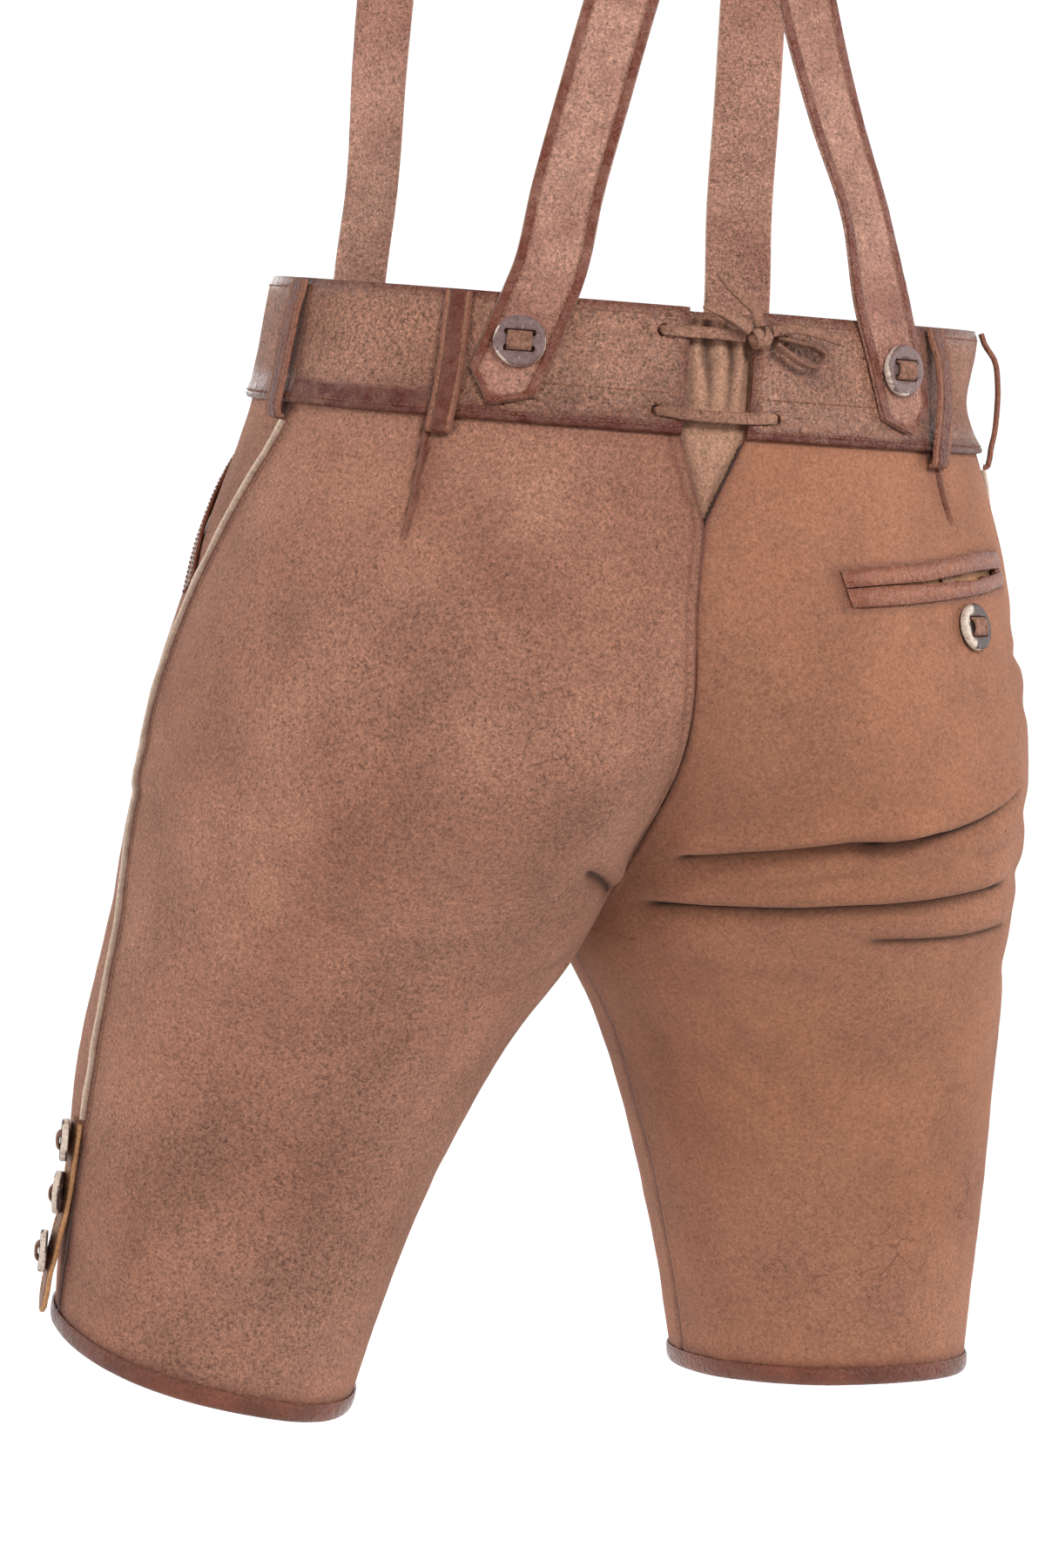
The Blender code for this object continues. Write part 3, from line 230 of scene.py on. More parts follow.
def body(side, turn, z):
    """Outer face of the breeches before its folds."""
    turn, z = np.broadcast_arrays(np.asarray(turn, float), np.asarray(z, float))
    ring = ring_at(z)
    c = np.cos(np.radians(turn))
    s = np.sin(np.radians(turn))
    reach_x = np.where(c > 0, ring.x_out - ring.x_mid, ring.x_mid - ring.x_in)
    reach_y = np.where(s > 0, ring.y_back - ring.y_mid, ring.y_mid - ring.y_front)
    across = reach_x * np.sign(c) * np.abs(c) ** (2 / FULLNESS)
    y = ring.y_mid + reach_y * np.sign(s) * np.abs(s) ** (2 / FULLNESS)
    x = side * (ring.x_mid + across)
    seat = fade(y / SEAT_DEEP) * np.exp(-(x / SWAY_REACH) ** 2)
    x = x + columns_at(SEAT_SWAY, z)[1] * seat
    _, lean, pitch, drop = columns_at(HANG[side], z)
    return np.stack([x, y, z + lean * across + pitch * (y - ring.y_mid) - drop], axis=-1)


def outward(side, turn, z):
    """Unit normal of the face, away from the body."""
    round_it = body(side, turn + 0.02, z) - body(side, turn - 0.02, z)
    up_it = body(side, turn, z + 0.0001) - body(side, turn, z - 0.0001)
    return unit(side * np.cross(round_it, up_it))


def lumps(places, size, seed):
    """Smooth random heights from -1 to 1 at places in space."""
    scaled = np.reshape(places, (-1, 3)) / size + 7.31 * seed
    heights = [noise.noise(place) for place in scaled.tolist()]
    return np.reshape(heights, np.shape(places)[:-1])


def fold_places(side, turn, z):
    """For each fold of a side: the fold, how strong it is here, and how far above it we are."""
    for fold in FOLDS:
        if fold.side == side:
            along = (turn - fold.turn_a) / (fold.turn_b - fold.turn_a)
            ends = fade(along / 0.16) * fade((1 - along) / 0.16)
            sag = 4 * fold.sag * along * (1 - along)
            yield fold, ends, z - fold.z_a - (fold.z_b - fold.z_a) * along - sag


def fold_crease_shade(side, turn, z):
    """Painted shade: how much of a place lies in the shaded bottom of a fold, with softer shade
    just below it.
    """
    crease_shade = np.zeros(np.broadcast(turn, z).shape)
    for fold, ends, above in fold_places(side, turn, z):
        strong = fade(1.6 * ends) * held((fold.depth - 0.0010) / 0.0035)
        line = ridge(np.where(above > 0, above, above * 0.55), 0.0012)
        crease_shade = crease_shade + strong * (0.95 * line + 0.22 * ridge(above + 0.0015, 0.0042))
    return crease_shade


def fold_pull(side, turn, z):
    """Draw the rows of a grid together at the deeper folds."""
    pull = np.zeros(np.broadcast(turn, z).shape)
    for fold, ends, above in fold_places(side, turn, z):
        if fold.depth > 0.0025:
            pull = pull - 0.62 * above * ends * ridge(above, 0.0055)
    return pull


def patches(table, side, turn, z):
    """Sum of soft-edged patches of one side."""
    amount = np.zeros(np.broadcast(turn, z).shape)
    for patch in table:
        if patch.side == side:
            away = ((turn - patch.turn) / patch.reach_turn) ** 2
            away = away + ((z - patch.z) / patch.reach_z) ** 2
            amount = amount + patch.strength * np.exp(-away)
    return amount


def relief(side, turn, z):
    """Height of folds, hollows and lumps over the smooth face."""
    places = body(side, turn, z)
    height = sum(lump.height * lumps(places, lump.size, seed)
                 for seed, lump in enumerate(LUMPS, start=1))
    for fold, ends, above in fold_places(side, turn, z):
        drop = above / fold.width
        reach = np.where(drop > 0, 0.26, 1.05)       # the leather rolls over from above
        height = height - fold.depth * ends * np.exp(-np.abs(drop / reach) ** 1.25)
        height = height + 1.2 * fold.bulge * ends * ridge(drop - 1.1, 1.0)
    return height - patches(HOLLOWS, side, turn, z)


def layer(side, turn, z, out):
    """Points of the leather's outer face, moved out (or in, where out is negative)."""
    lift = (relief(side, turn, z) + out)[..., None]
    return body(side, turn, z) + outward(side, turn, z) * lift


def on_face(side, turn, z, out):
    """A point off the face and the direction that the face looks there."""
    return np.concatenate((layer(side, turn, z, out), outward(side, turn, z)))


def round_face(side, turn, z, out=0.0):
    """A step of two degrees round the face, towards the wearer's left or the front."""
    return -side * (layer(side, turn + 1.0, z, out) - layer(side, turn - 1.0, z, out))


def turn_at(z, x, front=False):
    """The turn where the ring at z lies x from the middle, at the back or the front."""
    ring = ring_at(z)
    outer = held((x - ring.x_mid) / (ring.x_out - ring.x_mid))
    inner = held((ring.x_mid - x) / np.maximum(ring.x_mid - ring.x_in, 1e-6))
    near = np.degrees(np.arccos(np.where(x > ring.x_mid, outer, inner) ** (FULLNESS / 2)))
    turn = np.where(x > ring.x_mid, near, 180 - near)
    return -turn if front else turn


def centre_point(x, z, out, front=False):
    """A point by its distance x from the centre seam, +x on the wearer's left."""
    side = LEFT if x >= 0 else RIGHT
    return layer(side, float(turn_at(z, abs(x), front)), z, out)


def centre_grid(x, z, out, front=False):
    """The same for whole arrays of places across the centre seam."""
    turn = turn_at(z, np.abs(x), front)
    left = layer(LEFT, turn, z, out)
    right = layer(RIGHT, turn, z, out)
    return np.where((x >= 0)[..., None], left, right)


def metres_per_degree(side, turn, z):
    """How far one degree of turn goes round the body."""
    return np.linalg.norm(body(side, turn + 0.5, z) - body(side, turn - 0.5, z), axis=-1)


# ------------------------------------------------------------------ nodes and materials

def linear(hex_colour):
    """sRGB hex to the linear RGBA that a shader wants."""
    channels = [int(hex_colour[i:i + 2], 16) / 255 for i in (0, 2, 4)]
    return [((c + 0.055) / 1.055) ** 2.4 if c > 0.04045 else c / 12.92 for c in channels] + [1.0]


def feed(tree, node, inputs):
    """Give each named socket of a node its value, or join it to another node's output."""
    for socket, value in inputs.items():
        if isinstance(value, bpy.types.NodeSocket):
            tree.links.new(value, node.inputs[socket])
        else:
            node.inputs[socket].default_value = value


def add(tree, kind, inputs=None, **settings):
    """Add a node with its settings; inputs gives each socket a value or another output."""
    node = tree.nodes.new(kind)
    for label, value in settings.items():
        setattr(node, label, value)
    feed(tree, node, inputs or {})
    return node


MIX_A, MIX_B, MIX_OUT = 6, 7, 2          # the colour sockets of a Mix node


def new_material(name):
    """A plain material, its node tree, its shader's node and the place on the object."""
    material = bpy.data.materials.new(name)
    material.use_nodes = True
    tree = material.node_tree
    place = add(tree, "ShaderNodeTexCoord").outputs["Object"]
    return material, tree, tree.nodes["Principled BSDF"], place


# What tanned hide looks like: its three body colours, the colour that heat and wax give a
# burnished edge, which is also the colour of painted shade, its warmer tone where it was
# brushed less, how strong its dark flecks are, its nap's roughness and sheen, how smooth the
# iron leaves it, and how uneven its grain is.
Hide = namedtuple("Hide", "pale middle deep burnt warm flecks roughness sheen ironed grain")
HIDES = {
    "brushed_goat_suede":
        Hide("AE7D66", "9A6A55", "66463C", "5C2414", "9E6749", 0.50, 0.92, 0.05, 0.34, 1.15),
    "waistband_suede":
        Hide("AE7E68", "966852", "5E3D31", "571E10", "A06B52", 0.66, 0.84, 0.04, 0.25, 1.55),
    "gusset_suede":
        Hide("C09479", "AC8068", "7A5644", "4E2C1E", "B88A6E", 0.40, 0.93, 0.06, 0.50, 1.00),
    "waxed_strap_leather":
        Hide("BC8E7A", "A57462", "6E4536", "6E3322", "AE7A60", 0.62, 0.70, 0.04, 0.22, 1.35),
    "suede_thong":
        Hide("AE826B", "916553", "62402F", "4E2C1E", "A07258", 0.50, 0.90, 0.06, 0.55, 1.00),
    "loop_leather":
        Hide("A4705A", "935E49", "5E3426", "5E2614", "98624C", 0.40, 0.80, 0.04, 0.17, 0.80),
    "burnished_binding":
        Hide("8E5039", "77402D", "4E281C", "522819", "824732", 0.35, 0.40, 0.02, 0.20, 0.60),
    "burnished_welt":
        Hide("A4664A", "8E5038", "5A301E", "642C1A", "8E5236", 0.30, 0.40, 0.03, 0.20, 0.60),
    "orange_tan_split":
        Hide("CE9C70", "BE895C", "84562F", "5E2F1C", "C08C5C", 0.25, 0.70, 0.04, 0.34, 0.50),
    "raw_cut_edge":
        Hide("E6CDB9", "D8BBA5", "B08F7A", "7E5A49", "DCC0AA", 0.10, 0.90, 0.06, 0.70, 0.40),
}


def mixed(tree, share, first, second, blend="MIX"):
    """A colour between two, or one laid over the other."""
    first = linear(first) if isinstance(first, str) else first
    second = linear(second) if isinstance(second, str) else second
    node = add(tree, "ShaderNodeMix", {0: share, MIX_A: first, MIX_B: second},
               data_type="RGBA", blend_type=blend)
    return node.outputs[MIX_OUT]


def spread(tree, value, low, high, to_low=0.0, to_high=1.0):
    """Stretch a value's range from low..high to another, held at its ends."""
    node = add(tree, "ShaderNodeMapRange", {"Value": value, "From Min": low, "From Max": high,
                                            "To Min": to_low, "To Max": to_high})
    return node.outputs["Result"]


def times(tree, first, second, more=0.0):
    """first x second + more, held between 0 and 1."""
    node = add(tree, "ShaderNodeMath", {0: first, 1: second, 2: more},
               operation="MULTIPLY_ADD", use_clamp=True)
    return node.outputs[0]


def speckle(tree, place, size, detail, roughness):
    """Random tones whose largest spots are about size metres across."""
    node = add(tree, "ShaderNodeTexNoise", {"Vector": place, "Scale": 1 / size, "Detail": detail,
                                            "Roughness": roughness})
    return node.outputs["Fac"]


def mark(tree, label):
    """One of the marks that a piece carries, point by point."""
    return add(tree, "ShaderNodeAttribute", attribute_name=label).outputs["Fac"]


def stretched(tree, place, tall):
    """Places for a pattern that is drawn out along z, or pressed together where tall is > 1."""
    scale = {"Vector": place, "Scale": (1.0, 1.0, tall)}
    return add(tree, "ShaderNodeMapping", scale).outputs["Vector"]


def bump(tree, height, strength, distance, over=None):
    """Relief, on top of another relief where there is one."""
    inputs = {"Height": height, "Strength": strength, "Distance": distance}
    if over:
        inputs["Normal"] = over
    return add(tree, "ShaderNodeBump", inputs).outputs["Normal"]


def leather(name, hide):
    """Vegetable-tanned hide with a brushed face: soft clouds of dye, dark flecks where the
    nap is worn to the pores, and edges that were rubbed hot until they turned dark and
    glossy.  The pieces carry marks that say where: burnished edges, a mark which is also
    used for painted shade in gathers, beside darts and under the band, the belt loops and the
    pocket's welt; painted near-black shade in the bottoms of folds; stain, pale and so on."""
    material, tree, shader, place = new_material(name)
    marks = {label: mark(tree, label)
             for label in ("burnish", "stain", "pale", "crack", "warm", "polish", "crease_shade")}
    # clouds of dye a hand wide, and a mottle of 12 mm inside them
    cloud = speckle(tree, place, 0.085, 3.0, 0.55)
    mottle = speckle(tree, place, 0.012, 4.0, 0.68)
    # pebbled grain of 2.6 mm, flecks of about 1 mm, the nap's tufts of 0.3 to 1.2 mm and its
    # pile of 0.6 mm, each drawn a little coarser than life so that it shows
    grain = speckle(tree, place, 0.0026, 3.0, 0.62)
    shade = speckle(tree, place, 0.040, 3.0, 0.58)
    fleck = speckle(tree, place, 0.0013, 2.0, 0.55)
    nap = speckle(tree, place, 0.0015, 3.0, 0.72)
    pile = speckle(tree, place, 0.0006, 2.0, 0.60)
    rough_grain = times(tree, marks["warm"], -0.70, 1.0)
    # body colour: clouds, warmer parts, stains and the darker hollows of the grain
    colour = mixed(tree, spread(tree, cloud, 0.33, 0.67), hide.middle, hide.pale)
    warm = times(tree, marks["warm"], 0.75)
    colour = mixed(tree, warm, colour, hide.warm)
    low = spread(tree, shade, 0.62, 0.34, 0.0, 0.24)
    colour = mixed(tree, times(tree, marks["stain"], 0.45, low), colour, hide.deep)
    hollow = times(tree, spread(tree, grain, 0.46, 0.32), times(tree, marks["stain"], 1.2, 0.08))
    colour = mixed(tree, times(tree, hollow, hide.flecks), colour, hide.deep)
    # dark flecks, gathered where the mottle or a stain is
    gathered = spread(tree, mottle, 0.60, 0.40, 0.20, 1.0)
    worn = add(tree, "ShaderNodeMath", {0: marks["stain"], 1: gathered}).outputs[0]
    worn = times(tree, warm, -0.85, worn)
    specks = times(tree, spread(tree, fleck, 0.44, 0.33, 0.0, hide.flecks), worn)
    colour = mixed(tree, specks, colour, "4E342A")
    # short dry wrinkles, where the hide is stained and has been bent most
    bend = speckle(tree, stretched(tree, place, 2.4), 0.013, 3.0, 0.55)
    away = add(tree, "ShaderNodeMath", {0: bend, 1: 0.5}, operation="SUBTRACT").outputs[0]
    away = add(tree, "ShaderNodeMath", {0: away}, operation="ABSOLUTE").outputs[0]
    wrinkle = times(tree, spread(tree, away, 0.016, 0.0), spread(tree, mottle, 0.50, 0.42))
    wrinkle = times(tree, wrinkle, times(tree, marks["stain"], 1.6))
    colour = mixed(tree, times(tree, wrinkle, 0.70), colour, "452A22")
    worn_open = times(tree, marks["warm"], -0.35, 1.0)

    def uneven(noise, share):
        share = share * hide.grain
        return spread(tree, noise, 0.30, 0.70, 1 - share, 1 + 1.06 * share)

    colour = mixed(tree, worn_open, colour, uneven(grain, 0.14), "MULTIPLY")
    colour = mixed(tree, worn_open, colour, uneven(nap, 0.34), "MULTIPLY")
    colour = mixed(tree, worn_open, colour, uneven(pile, 0.26), "MULTIPLY")
    # burnished where the mark says, broken up where the iron missed the hollows; the same mark
    # also paints shade where the pieces put it
    missed = spread(tree, mottle, 0.30, 0.62, 0.55, 1.05)
    burnish = times(tree, marks["burnish"], missed)
    colour = mixed(tree, burnish, colour, hide.burnt)
    colour = mixed(tree, marks["pale"], colour, "CDB09A")
    # painted shade: near-black in the bottoms of folds, the deepest gathers and the gap beside the
    # knee slit
    colour = mixed(tree, marks["crease_shade"], colour, "28130D")
    # dry cracks in the grain, a few centimetres long, only where the hide has them
    veins = add(tree, "ShaderNodeTexNoise", {"Vector": place, "Scale": 1 / 0.009, "Detail": 2.0})
    bent = add(tree, "ShaderNodeVectorMath", {0: veins.outputs["Color"], 1: (0.012, 0.012, 0.012)},
               operation="MULTIPLY").outputs[0]
    bent = add(tree, "ShaderNodeVectorMath", {0: place, 1: bent}, operation="ADD").outputs[0]
    cells = add(tree, "ShaderNodeTexVoronoi", {"Vector": bent, "Scale": 1 / 0.016},
                feature="DISTANCE_TO_EDGE").outputs["Distance"]
    crack = times(tree, spread(tree, cells, 0.035, 0.0), marks["crack"])
    colour = mixed(tree, crack, colour, "5A3A30")
    ironed = times(tree, marks["polish"], missed, burnish)
    gloss = spread(tree, ironed, 0.0, 1.0, hide.roughness, hide.ironed)
    # relief: tufts of the nap, pebbled grain, and the crumple of 5 mm in ironed edges
    smoothed = times(tree, marks["polish"], 0.85, marks["burnish"])
    crumple = times(tree, speckle(tree, place, 0.0050, 3.0, 0.60), smoothed)
    relief_height = times(tree, grain, rough_grain)
    normal = bump(tree, nap, 0.65, 0.0006)
    normal = bump(tree, relief_height, 0.75, 0.0022, normal)
    normal = bump(tree, crumple, 0.65, 0.0035, normal)
    feed(tree, shader, {
        "Base Color": colour, "Roughness": gloss, "Normal": normal, "Sheen Weight": hide.sheen,
        "Sheen Roughness": 0.45, "Sheen Tint": linear("F0DCCB"), "Specular IOR Level": 0.45,
        "IOR": 1.45})
    return material


def staghorn():
    """Slices of antler, sawn, dyed and polished: a dark skin with fine scratches, over the
    cream core that shows round the rim and where the dye has worn off."""
    material, tree, shader, place = new_material("polished_staghorn")
    grain = speckle(tree, stretched(tree, place, 2.0), 0.0030, 8.0, 0.70)
    tone = spread(tree, grain, 0.32, 0.70)
    skin = mixed(tree, tone, "5A4442", "8C706C")
    dark = mixed(tree, tone, "2C1E1B", "54403A")
    face = mixed(tree, mark(tree, "dyed"), skin, dark)
    scratch = speckle(tree, stretched(tree, place, 0.12), 0.0009, 2.0, 0.5)
    scratch = spread(tree, scratch, 0.66, 0.74)
    face = mixed(tree, times(tree, scratch, 0.55), face, "D8C9C2")
    core = mixed(tree, tone, "C3AB98", "E6D6C6")
    ragged = times(tree, mark(tree, "cream"), spread(tree, grain, 0.36, 0.48, 0.35, 1.15))
    feed(tree, shader, {
        "Base Color": mixed(tree, ragged, face, core),
        "Roughness": spread(tree, grain, 0.3, 0.7, 0.34, 0.58), "IOR": 1.50,
        "Specular IOR Level": 0.40, "Normal": bump(tree, grain, 0.5, 0.0005)})
    return material


def thread(name, colour, soiled):
    """Waxed thread: matt, soiled by handling in places a few millimetres long."""
    material, tree, shader, place = new_material(name)
    tint = mixed(tree, speckle(tree, place, 0.006, 3.0, 0.5), colour, soiled)
    feed(tree, shader, {"Base Color": tint, "Roughness": 0.70})
    return material


MATERIALS = {name: leather(name, hide) for name, hide in HIDES.items()}
MATERIALS["polished_staghorn"] = staghorn()
for name, colour, soiled in (("waxed_linen_thread", "B28A70", "85604C"),
                             ("red_brown_thread", "96604A", "6C402E"),
                             ("dark_waxed_thong", "2E1A14", "4A2C22")):
    MATERIALS[name] = thread(name, colour, soiled)

# The cut of each leather piece before it was sewn: width and length in metres, its area
# where it is not a rectangle, how it is held, and what it hangs from or lies on.
Cut = namedtuple("Cut", "flat area held on")

# ------------------------------------------------------------------ making pieces

def set_marks(mesh, marks):
    """Store where a piece is burnished, stained, pale or cracked, point by point."""
    for label, amount in marks.items():
        layer_of_marks = mesh.attributes.new(label, "FLOAT", "POINT")
        layer_of_marks.data.foreach_set("value", np.ascontiguousarray(amount, dtype=np.float32))


def put(name, data):
    """A new object in the scene."""
    thing = bpy.data.objects.new(name, data)
    bpy.context.scene.collection.objects.link(thing)
    return thing


def settle(piece):
    """Keep the shape that a piece's modifiers give it, and drop them."""
    graph = bpy.context.evaluated_depsgraph_get()
    shape = bpy.data.meshes.new_from_object(piece.evaluated_get(graph))
    piece.modifiers.clear()
    piece.data = shape


def dress(name, mesh, finish, sharp=50.0):
    """A finished piece: smooth-shaded, in its material, standing for its solid."""
    mesh.shade_smooth()
    mesh.set_sharp_from_angle(angle=math.radians(sharp))
    mesh.materials.clear()
    mesh.materials.append(MATERIALS[finish])
    piece = put("fine_" + name, mesh)
    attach(piece, "root")
    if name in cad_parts:
        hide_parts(name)
    return piece


def volume_of(points, faces):
    """Signed volume, negative where the faces point inwards."""
    points = points - points.mean(axis=0)
    a, b, c, d = (points[faces[:, k]] for k in range(4))
    return float(np.sum(a * (np.cross(b, c) + np.cross(c, d))) / 6)


def mesh_of(name, points, quads, caps=()):
    """A mesh from points and four-sided faces, turned to face outwards."""
    if volume_of(points, quads) < 0:
        quads = quads[:, ::-1]
        caps = [cap[::-1] for cap in caps]
    mesh = bpy.data.meshes.new(name)
    mesh.from_pydata(points, [], quads.tolist() + [list(cap) for cap in caps])
    return mesh


def shell(name, outer, inner, marks=None, holes=None):
    """Leather between two grids of points, closed round its rim and round its holes."""
    rows, columns = outer.shape[:2]
    index = np.arange(rows * columns).reshape(rows, columns)
    quads = np.stack([index[:-1, :-1], index[:-1, 1:], index[1:, 1:], index[1:, :-1]], axis=-1)
    quads = quads[~holes] if holes is not None else quads.reshape(-1, 4)
    count = rows * columns
    edges = np.concatenate([quads[:, [k, (k + 1) % 4]] for k in range(4)])
    lone = ~np.isin(edges[:, 0] * count + edges[:, 1], edges[:, 1] * count + edges[:, 0])
    a, b = edges[lone].T
    rim = np.stack([b, a, a + count, b + count], axis=-1)
    faces = np.concatenate([quads, quads[:, ::-1] + count, rim])
    points = np.concatenate([outer.reshape(-1, 3), inner.reshape(-1, 3)])
    used, faces = np.unique(faces, return_inverse=True)
    mesh = mesh_of(name, points[used], faces.reshape(-1, 4))
    for label, amount in (marks or {}).items():
        both = np.concatenate([amount.reshape(-1), amount.reshape(-1) * 0.3])
        set_marks(mesh, {label: both[used]})
    return mesh


def lofted(name, sections, marks=None):
    """A closed piece through a row of outlines with the same number of points."""
    rows, around = sections.shape[:2]
    index = np.arange(rows * around).reshape(rows, around)
    beside = np.roll(index, -1, axis=1)
    quads = np.stack([index[:-1], beside[:-1], beside[1:], index[1:]], axis=-1).reshape(-1, 4)
    caps = (index[0][::-1], index[-1])
    mesh = mesh_of(name, sections.reshape(-1, 3), quads, caps)
    set_marks(mesh, {label: amount.reshape(-1) for label, amount in (marks or {}).items()})
    return mesh


def smooth_path(points, spacing):
    """Points of a smooth curve through a given route, evenly along its length."""
    points = np.asarray(points, float)
    along = travelled(points[:, :3])
    stations = np.linspace(0.0, along[-1], max(4, int(along[-1] / spacing)))
    return np.stack([smooth(along, column, stations) for column in points.T], axis=-1)


def directions(path):
    """Unit tangent at each point of a path."""
    return unit(np.gradient(path, axis=0))


def strip_outline(half, thick, lanes):
    """Section of a strip with rounded edges: places across it, heights, and its top's lanes."""
    r = min(0.46 * thick, 0.9 * half)
    flat = np.linspace(-(half - r), half - r, lanes)
    arc = np.radians((60, 30, 0, -30, -60))
    edge = half - r + r * np.cos(arc)
    rise = np.sign(np.sin(arc)) * (thick / 2 - r) + r * np.sin(arc)
    across = np.concatenate([flat, edge, flat[::-1], -edge[::-1]])
    level = np.full(lanes, thick / 2)
    return across, np.concatenate([level, rise, -level, rise[::-1]])


Strip = namedtuple("Strip", "sections across top")


def ribbon(path, across, half_widths, thick, bend=0.0, lanes=7, crown=None):
    """Sections of a strip along a path.  bend curves it over the body, and crown lifts its
    face by an amount worked out from the distance to the strip's edge."""
    ahead = directions(path)
    across = unit(across - ahead * np.sum(ahead * across, axis=1, keepdims=True))
    face = np.cross(across, ahead)
    half_widths = np.broadcast_to(half_widths, len(path))
    bend = np.broadcast_to(bend, len(path))
    sections, places, tops = [], [], []
    for i, centre in enumerate(path):
        u, v = strip_outline(half_widths[i], thick, lanes)
        top = v > 0.3 * thick
        if crown:
            v = v + np.where(top, crown(half_widths[i] - np.abs(u)), 0.0)
        v = v - bend[i] * u ** 2
        sections.append(centre + across[i] * u[:, None] + face[i] * v[:, None])
        places.append(u)
        tops.append(top)
    return Strip(np.array(sections), np.array(places), np.array(tops))


# ------------------------------------------------------------------ stitching

STITCH_ROWS = {}                         # rows of stitches by the piece they belong to


def stitch_along(group, points, outs):
    """Remember a row of stitches: where it runs and which way the leather faces."""
    STITCH_ROWS.setdefault(group, []).append((np.asarray(points), np.asarray(outs)))


def stitch_on(group, side, turns, heights, out):
    """A row of stitches over the breeches' face."""
    turns, heights = np.broadcast_arrays(np.asarray(turns, float), np.asarray(heights, float))
    stitch_along(group, layer(side, turns, heights, out), outward(side, turns, heights))


def stitch_edges(group, path, wide, face, half, lift, keep=slice(None)):
    """A row of stitches at half on both sides of a strip's middle, lifted off its path."""
    for edge in (-1, 1):
        row = path + wide * edge * half + face * lift
        stitch_along(group, row[keep], face[keep])


def stitch_tree():
    """Beads of thread along drawn lines: each stitch is a short rounded bar that lies along
    the line with its back to the leather, a little uneven in length and direction."""
    tree = bpy.data.node_groups.new("stitch_rows", "GeometryNodeTree")
    for label, kind, way in (("Geometry", "Geometry", "INPUT"), ("Spacing", "Float", "INPUT"),
                             ("Length", "Float", "INPUT"), ("Thickness", "Float", "INPUT"),
                             ("Seed", "Int", "INPUT"), ("Thread", "Material", "INPUT"),
                             ("Geometry", "Geometry", "OUTPUT")):
        tree.interface.new_socket(name=label, in_out=way, socket_type="NodeSocket" + kind)
    given = add(tree, "NodeGroupInput").outputs
    line = add(tree, "GeometryNodeMeshToCurve", {"Mesh": given["Geometry"]}).outputs["Curve"]
    line = add(tree, "GeometryNodeResampleCurve", {"Curve": line, "Length": given["Spacing"]},
               mode="LENGTH").outputs["Curve"]
    tangent = add(tree, "GeometryNodeInputTangent").outputs["Tangent"]
    faces = add(tree, "GeometryNodeInputNamedAttribute", {"Name": "face_out"},
                data_type="FLOAT_VECTOR").outputs["Attribute"]
    lie = add(tree, "FunctionNodeAlignRotationToVector", {"Vector": tangent}, axis="X")
    lie = add(tree, "FunctionNodeAlignRotationToVector",
              {"Rotation": lie.outputs["Rotation"], "Vector": faces}, axis="Z", pivot_axis="X")
    swing = add(tree, "FunctionNodeRandomValue", {0: (0.0, 0.0, -0.10), 1: (0.0, 0.0, 0.10),
                                                  "Seed": given["Seed"]},
                data_type="FLOAT_VECTOR").outputs[0]
    swing = add(tree, "FunctionNodeEulerToRotation", {0: swing}).outputs[0]
    lie = add(tree, "FunctionNodeRotateRotation", {0: lie.outputs["Rotation"], 1: swing},
              rotation_space="LOCAL").outputs[0]
    size = add(tree, "ShaderNodeCombineXYZ", {0: given["Length"], 1: given["Thickness"],
                                              2: given["Thickness"]}).outputs[0]
    bead = add(tree, "GeometryNodeMeshUVSphere", {"Segments": 6, "Rings": 4, "Radius": 0.5})
    bead = add(tree, "GeometryNodeTransform", {"Geometry": bead.outputs["Mesh"], "Scale": size})
    uneven = add(tree, "FunctionNodeRandomValue", {2: 0.84, 3: 1.10, "Seed": given["Seed"]},
                 data_type="FLOAT").outputs[1]
    beads = add(tree, "GeometryNodeInstanceOnPoints",
                {"Points": line, "Instance": bead.outputs["Geometry"], "Rotation": lie,
                 "Scale": uneven}).outputs["Instances"]
    real = add(tree, "GeometryNodeRealizeInstances", {"Geometry": beads}).outputs["Geometry"]
    done = add(tree, "GeometryNodeSetMaterial", {"Geometry": real, "Material": given["Thread"]})
    add(tree, "NodeGroupOutput", {"Geometry": done.outputs["Geometry"]})
    return tree


Style = namedtuple("Style", "spacing length thickness material")
PLAIN = Style(0.0030, 0.0024, 0.00062, "waxed_linen_thread")
STYLES = {
    "notch_whipping": Style(0.0017, 0.0026, 0.00120, "dark_waxed_thong"),
    "waistband": Style(0.0030, 0.0027, 0.00075, "red_brown_thread"),
    "hems": Style(0.0031, 0.0024, 0.00060, "red_brown_thread"),
    "pocket": Style(0.0024, 0.0018, 0.00055, "waxed_linen_thread"),
}


def sew():
    """Turn every remembered row into thread, one piece for each group."""
    tree = stitch_tree()
    sockets = {item.name: item.identifier for item in tree.interface.items_tree
               if item.in_out == "INPUT"}
    for seed, (group, rows) in enumerate(sorted(STITCH_ROWS.items())):
        style = STYLES.get(group, PLAIN)
        points, outs = (np.concatenate(column) for column in zip(*rows))
        starts = np.cumsum([0] + [len(row[0]) for row in rows])
        edges = [(i, i + 1) for a, b in zip(starts, starts[1:]) for i in range(a, b - 1)]
        mesh = bpy.data.meshes.new("lines_" + group)
        mesh.from_pydata(points, edges, [])
        facing = mesh.attributes.new("face_out", "FLOAT_VECTOR", "POINT")
        facing.data.foreach_set("vector", outs.astype(np.float32).reshape(-1))
        piece = put("stitches_" + group, mesh)
        rule = piece.modifiers.new("stitches", "NODES")
        rule.node_group = tree
        given = {"Spacing": style.spacing, "Length": style.length, "Thickness": style.thickness,
                 "Seed": seed, "Thread": MATERIALS[style.material]}
        for label, value in given.items():
            rule[sockets[label]] = value
        settle(piece)
        piece.data.shade_smooth()
        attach(piece, "root")


# ------------------------------------------------------------------ panels

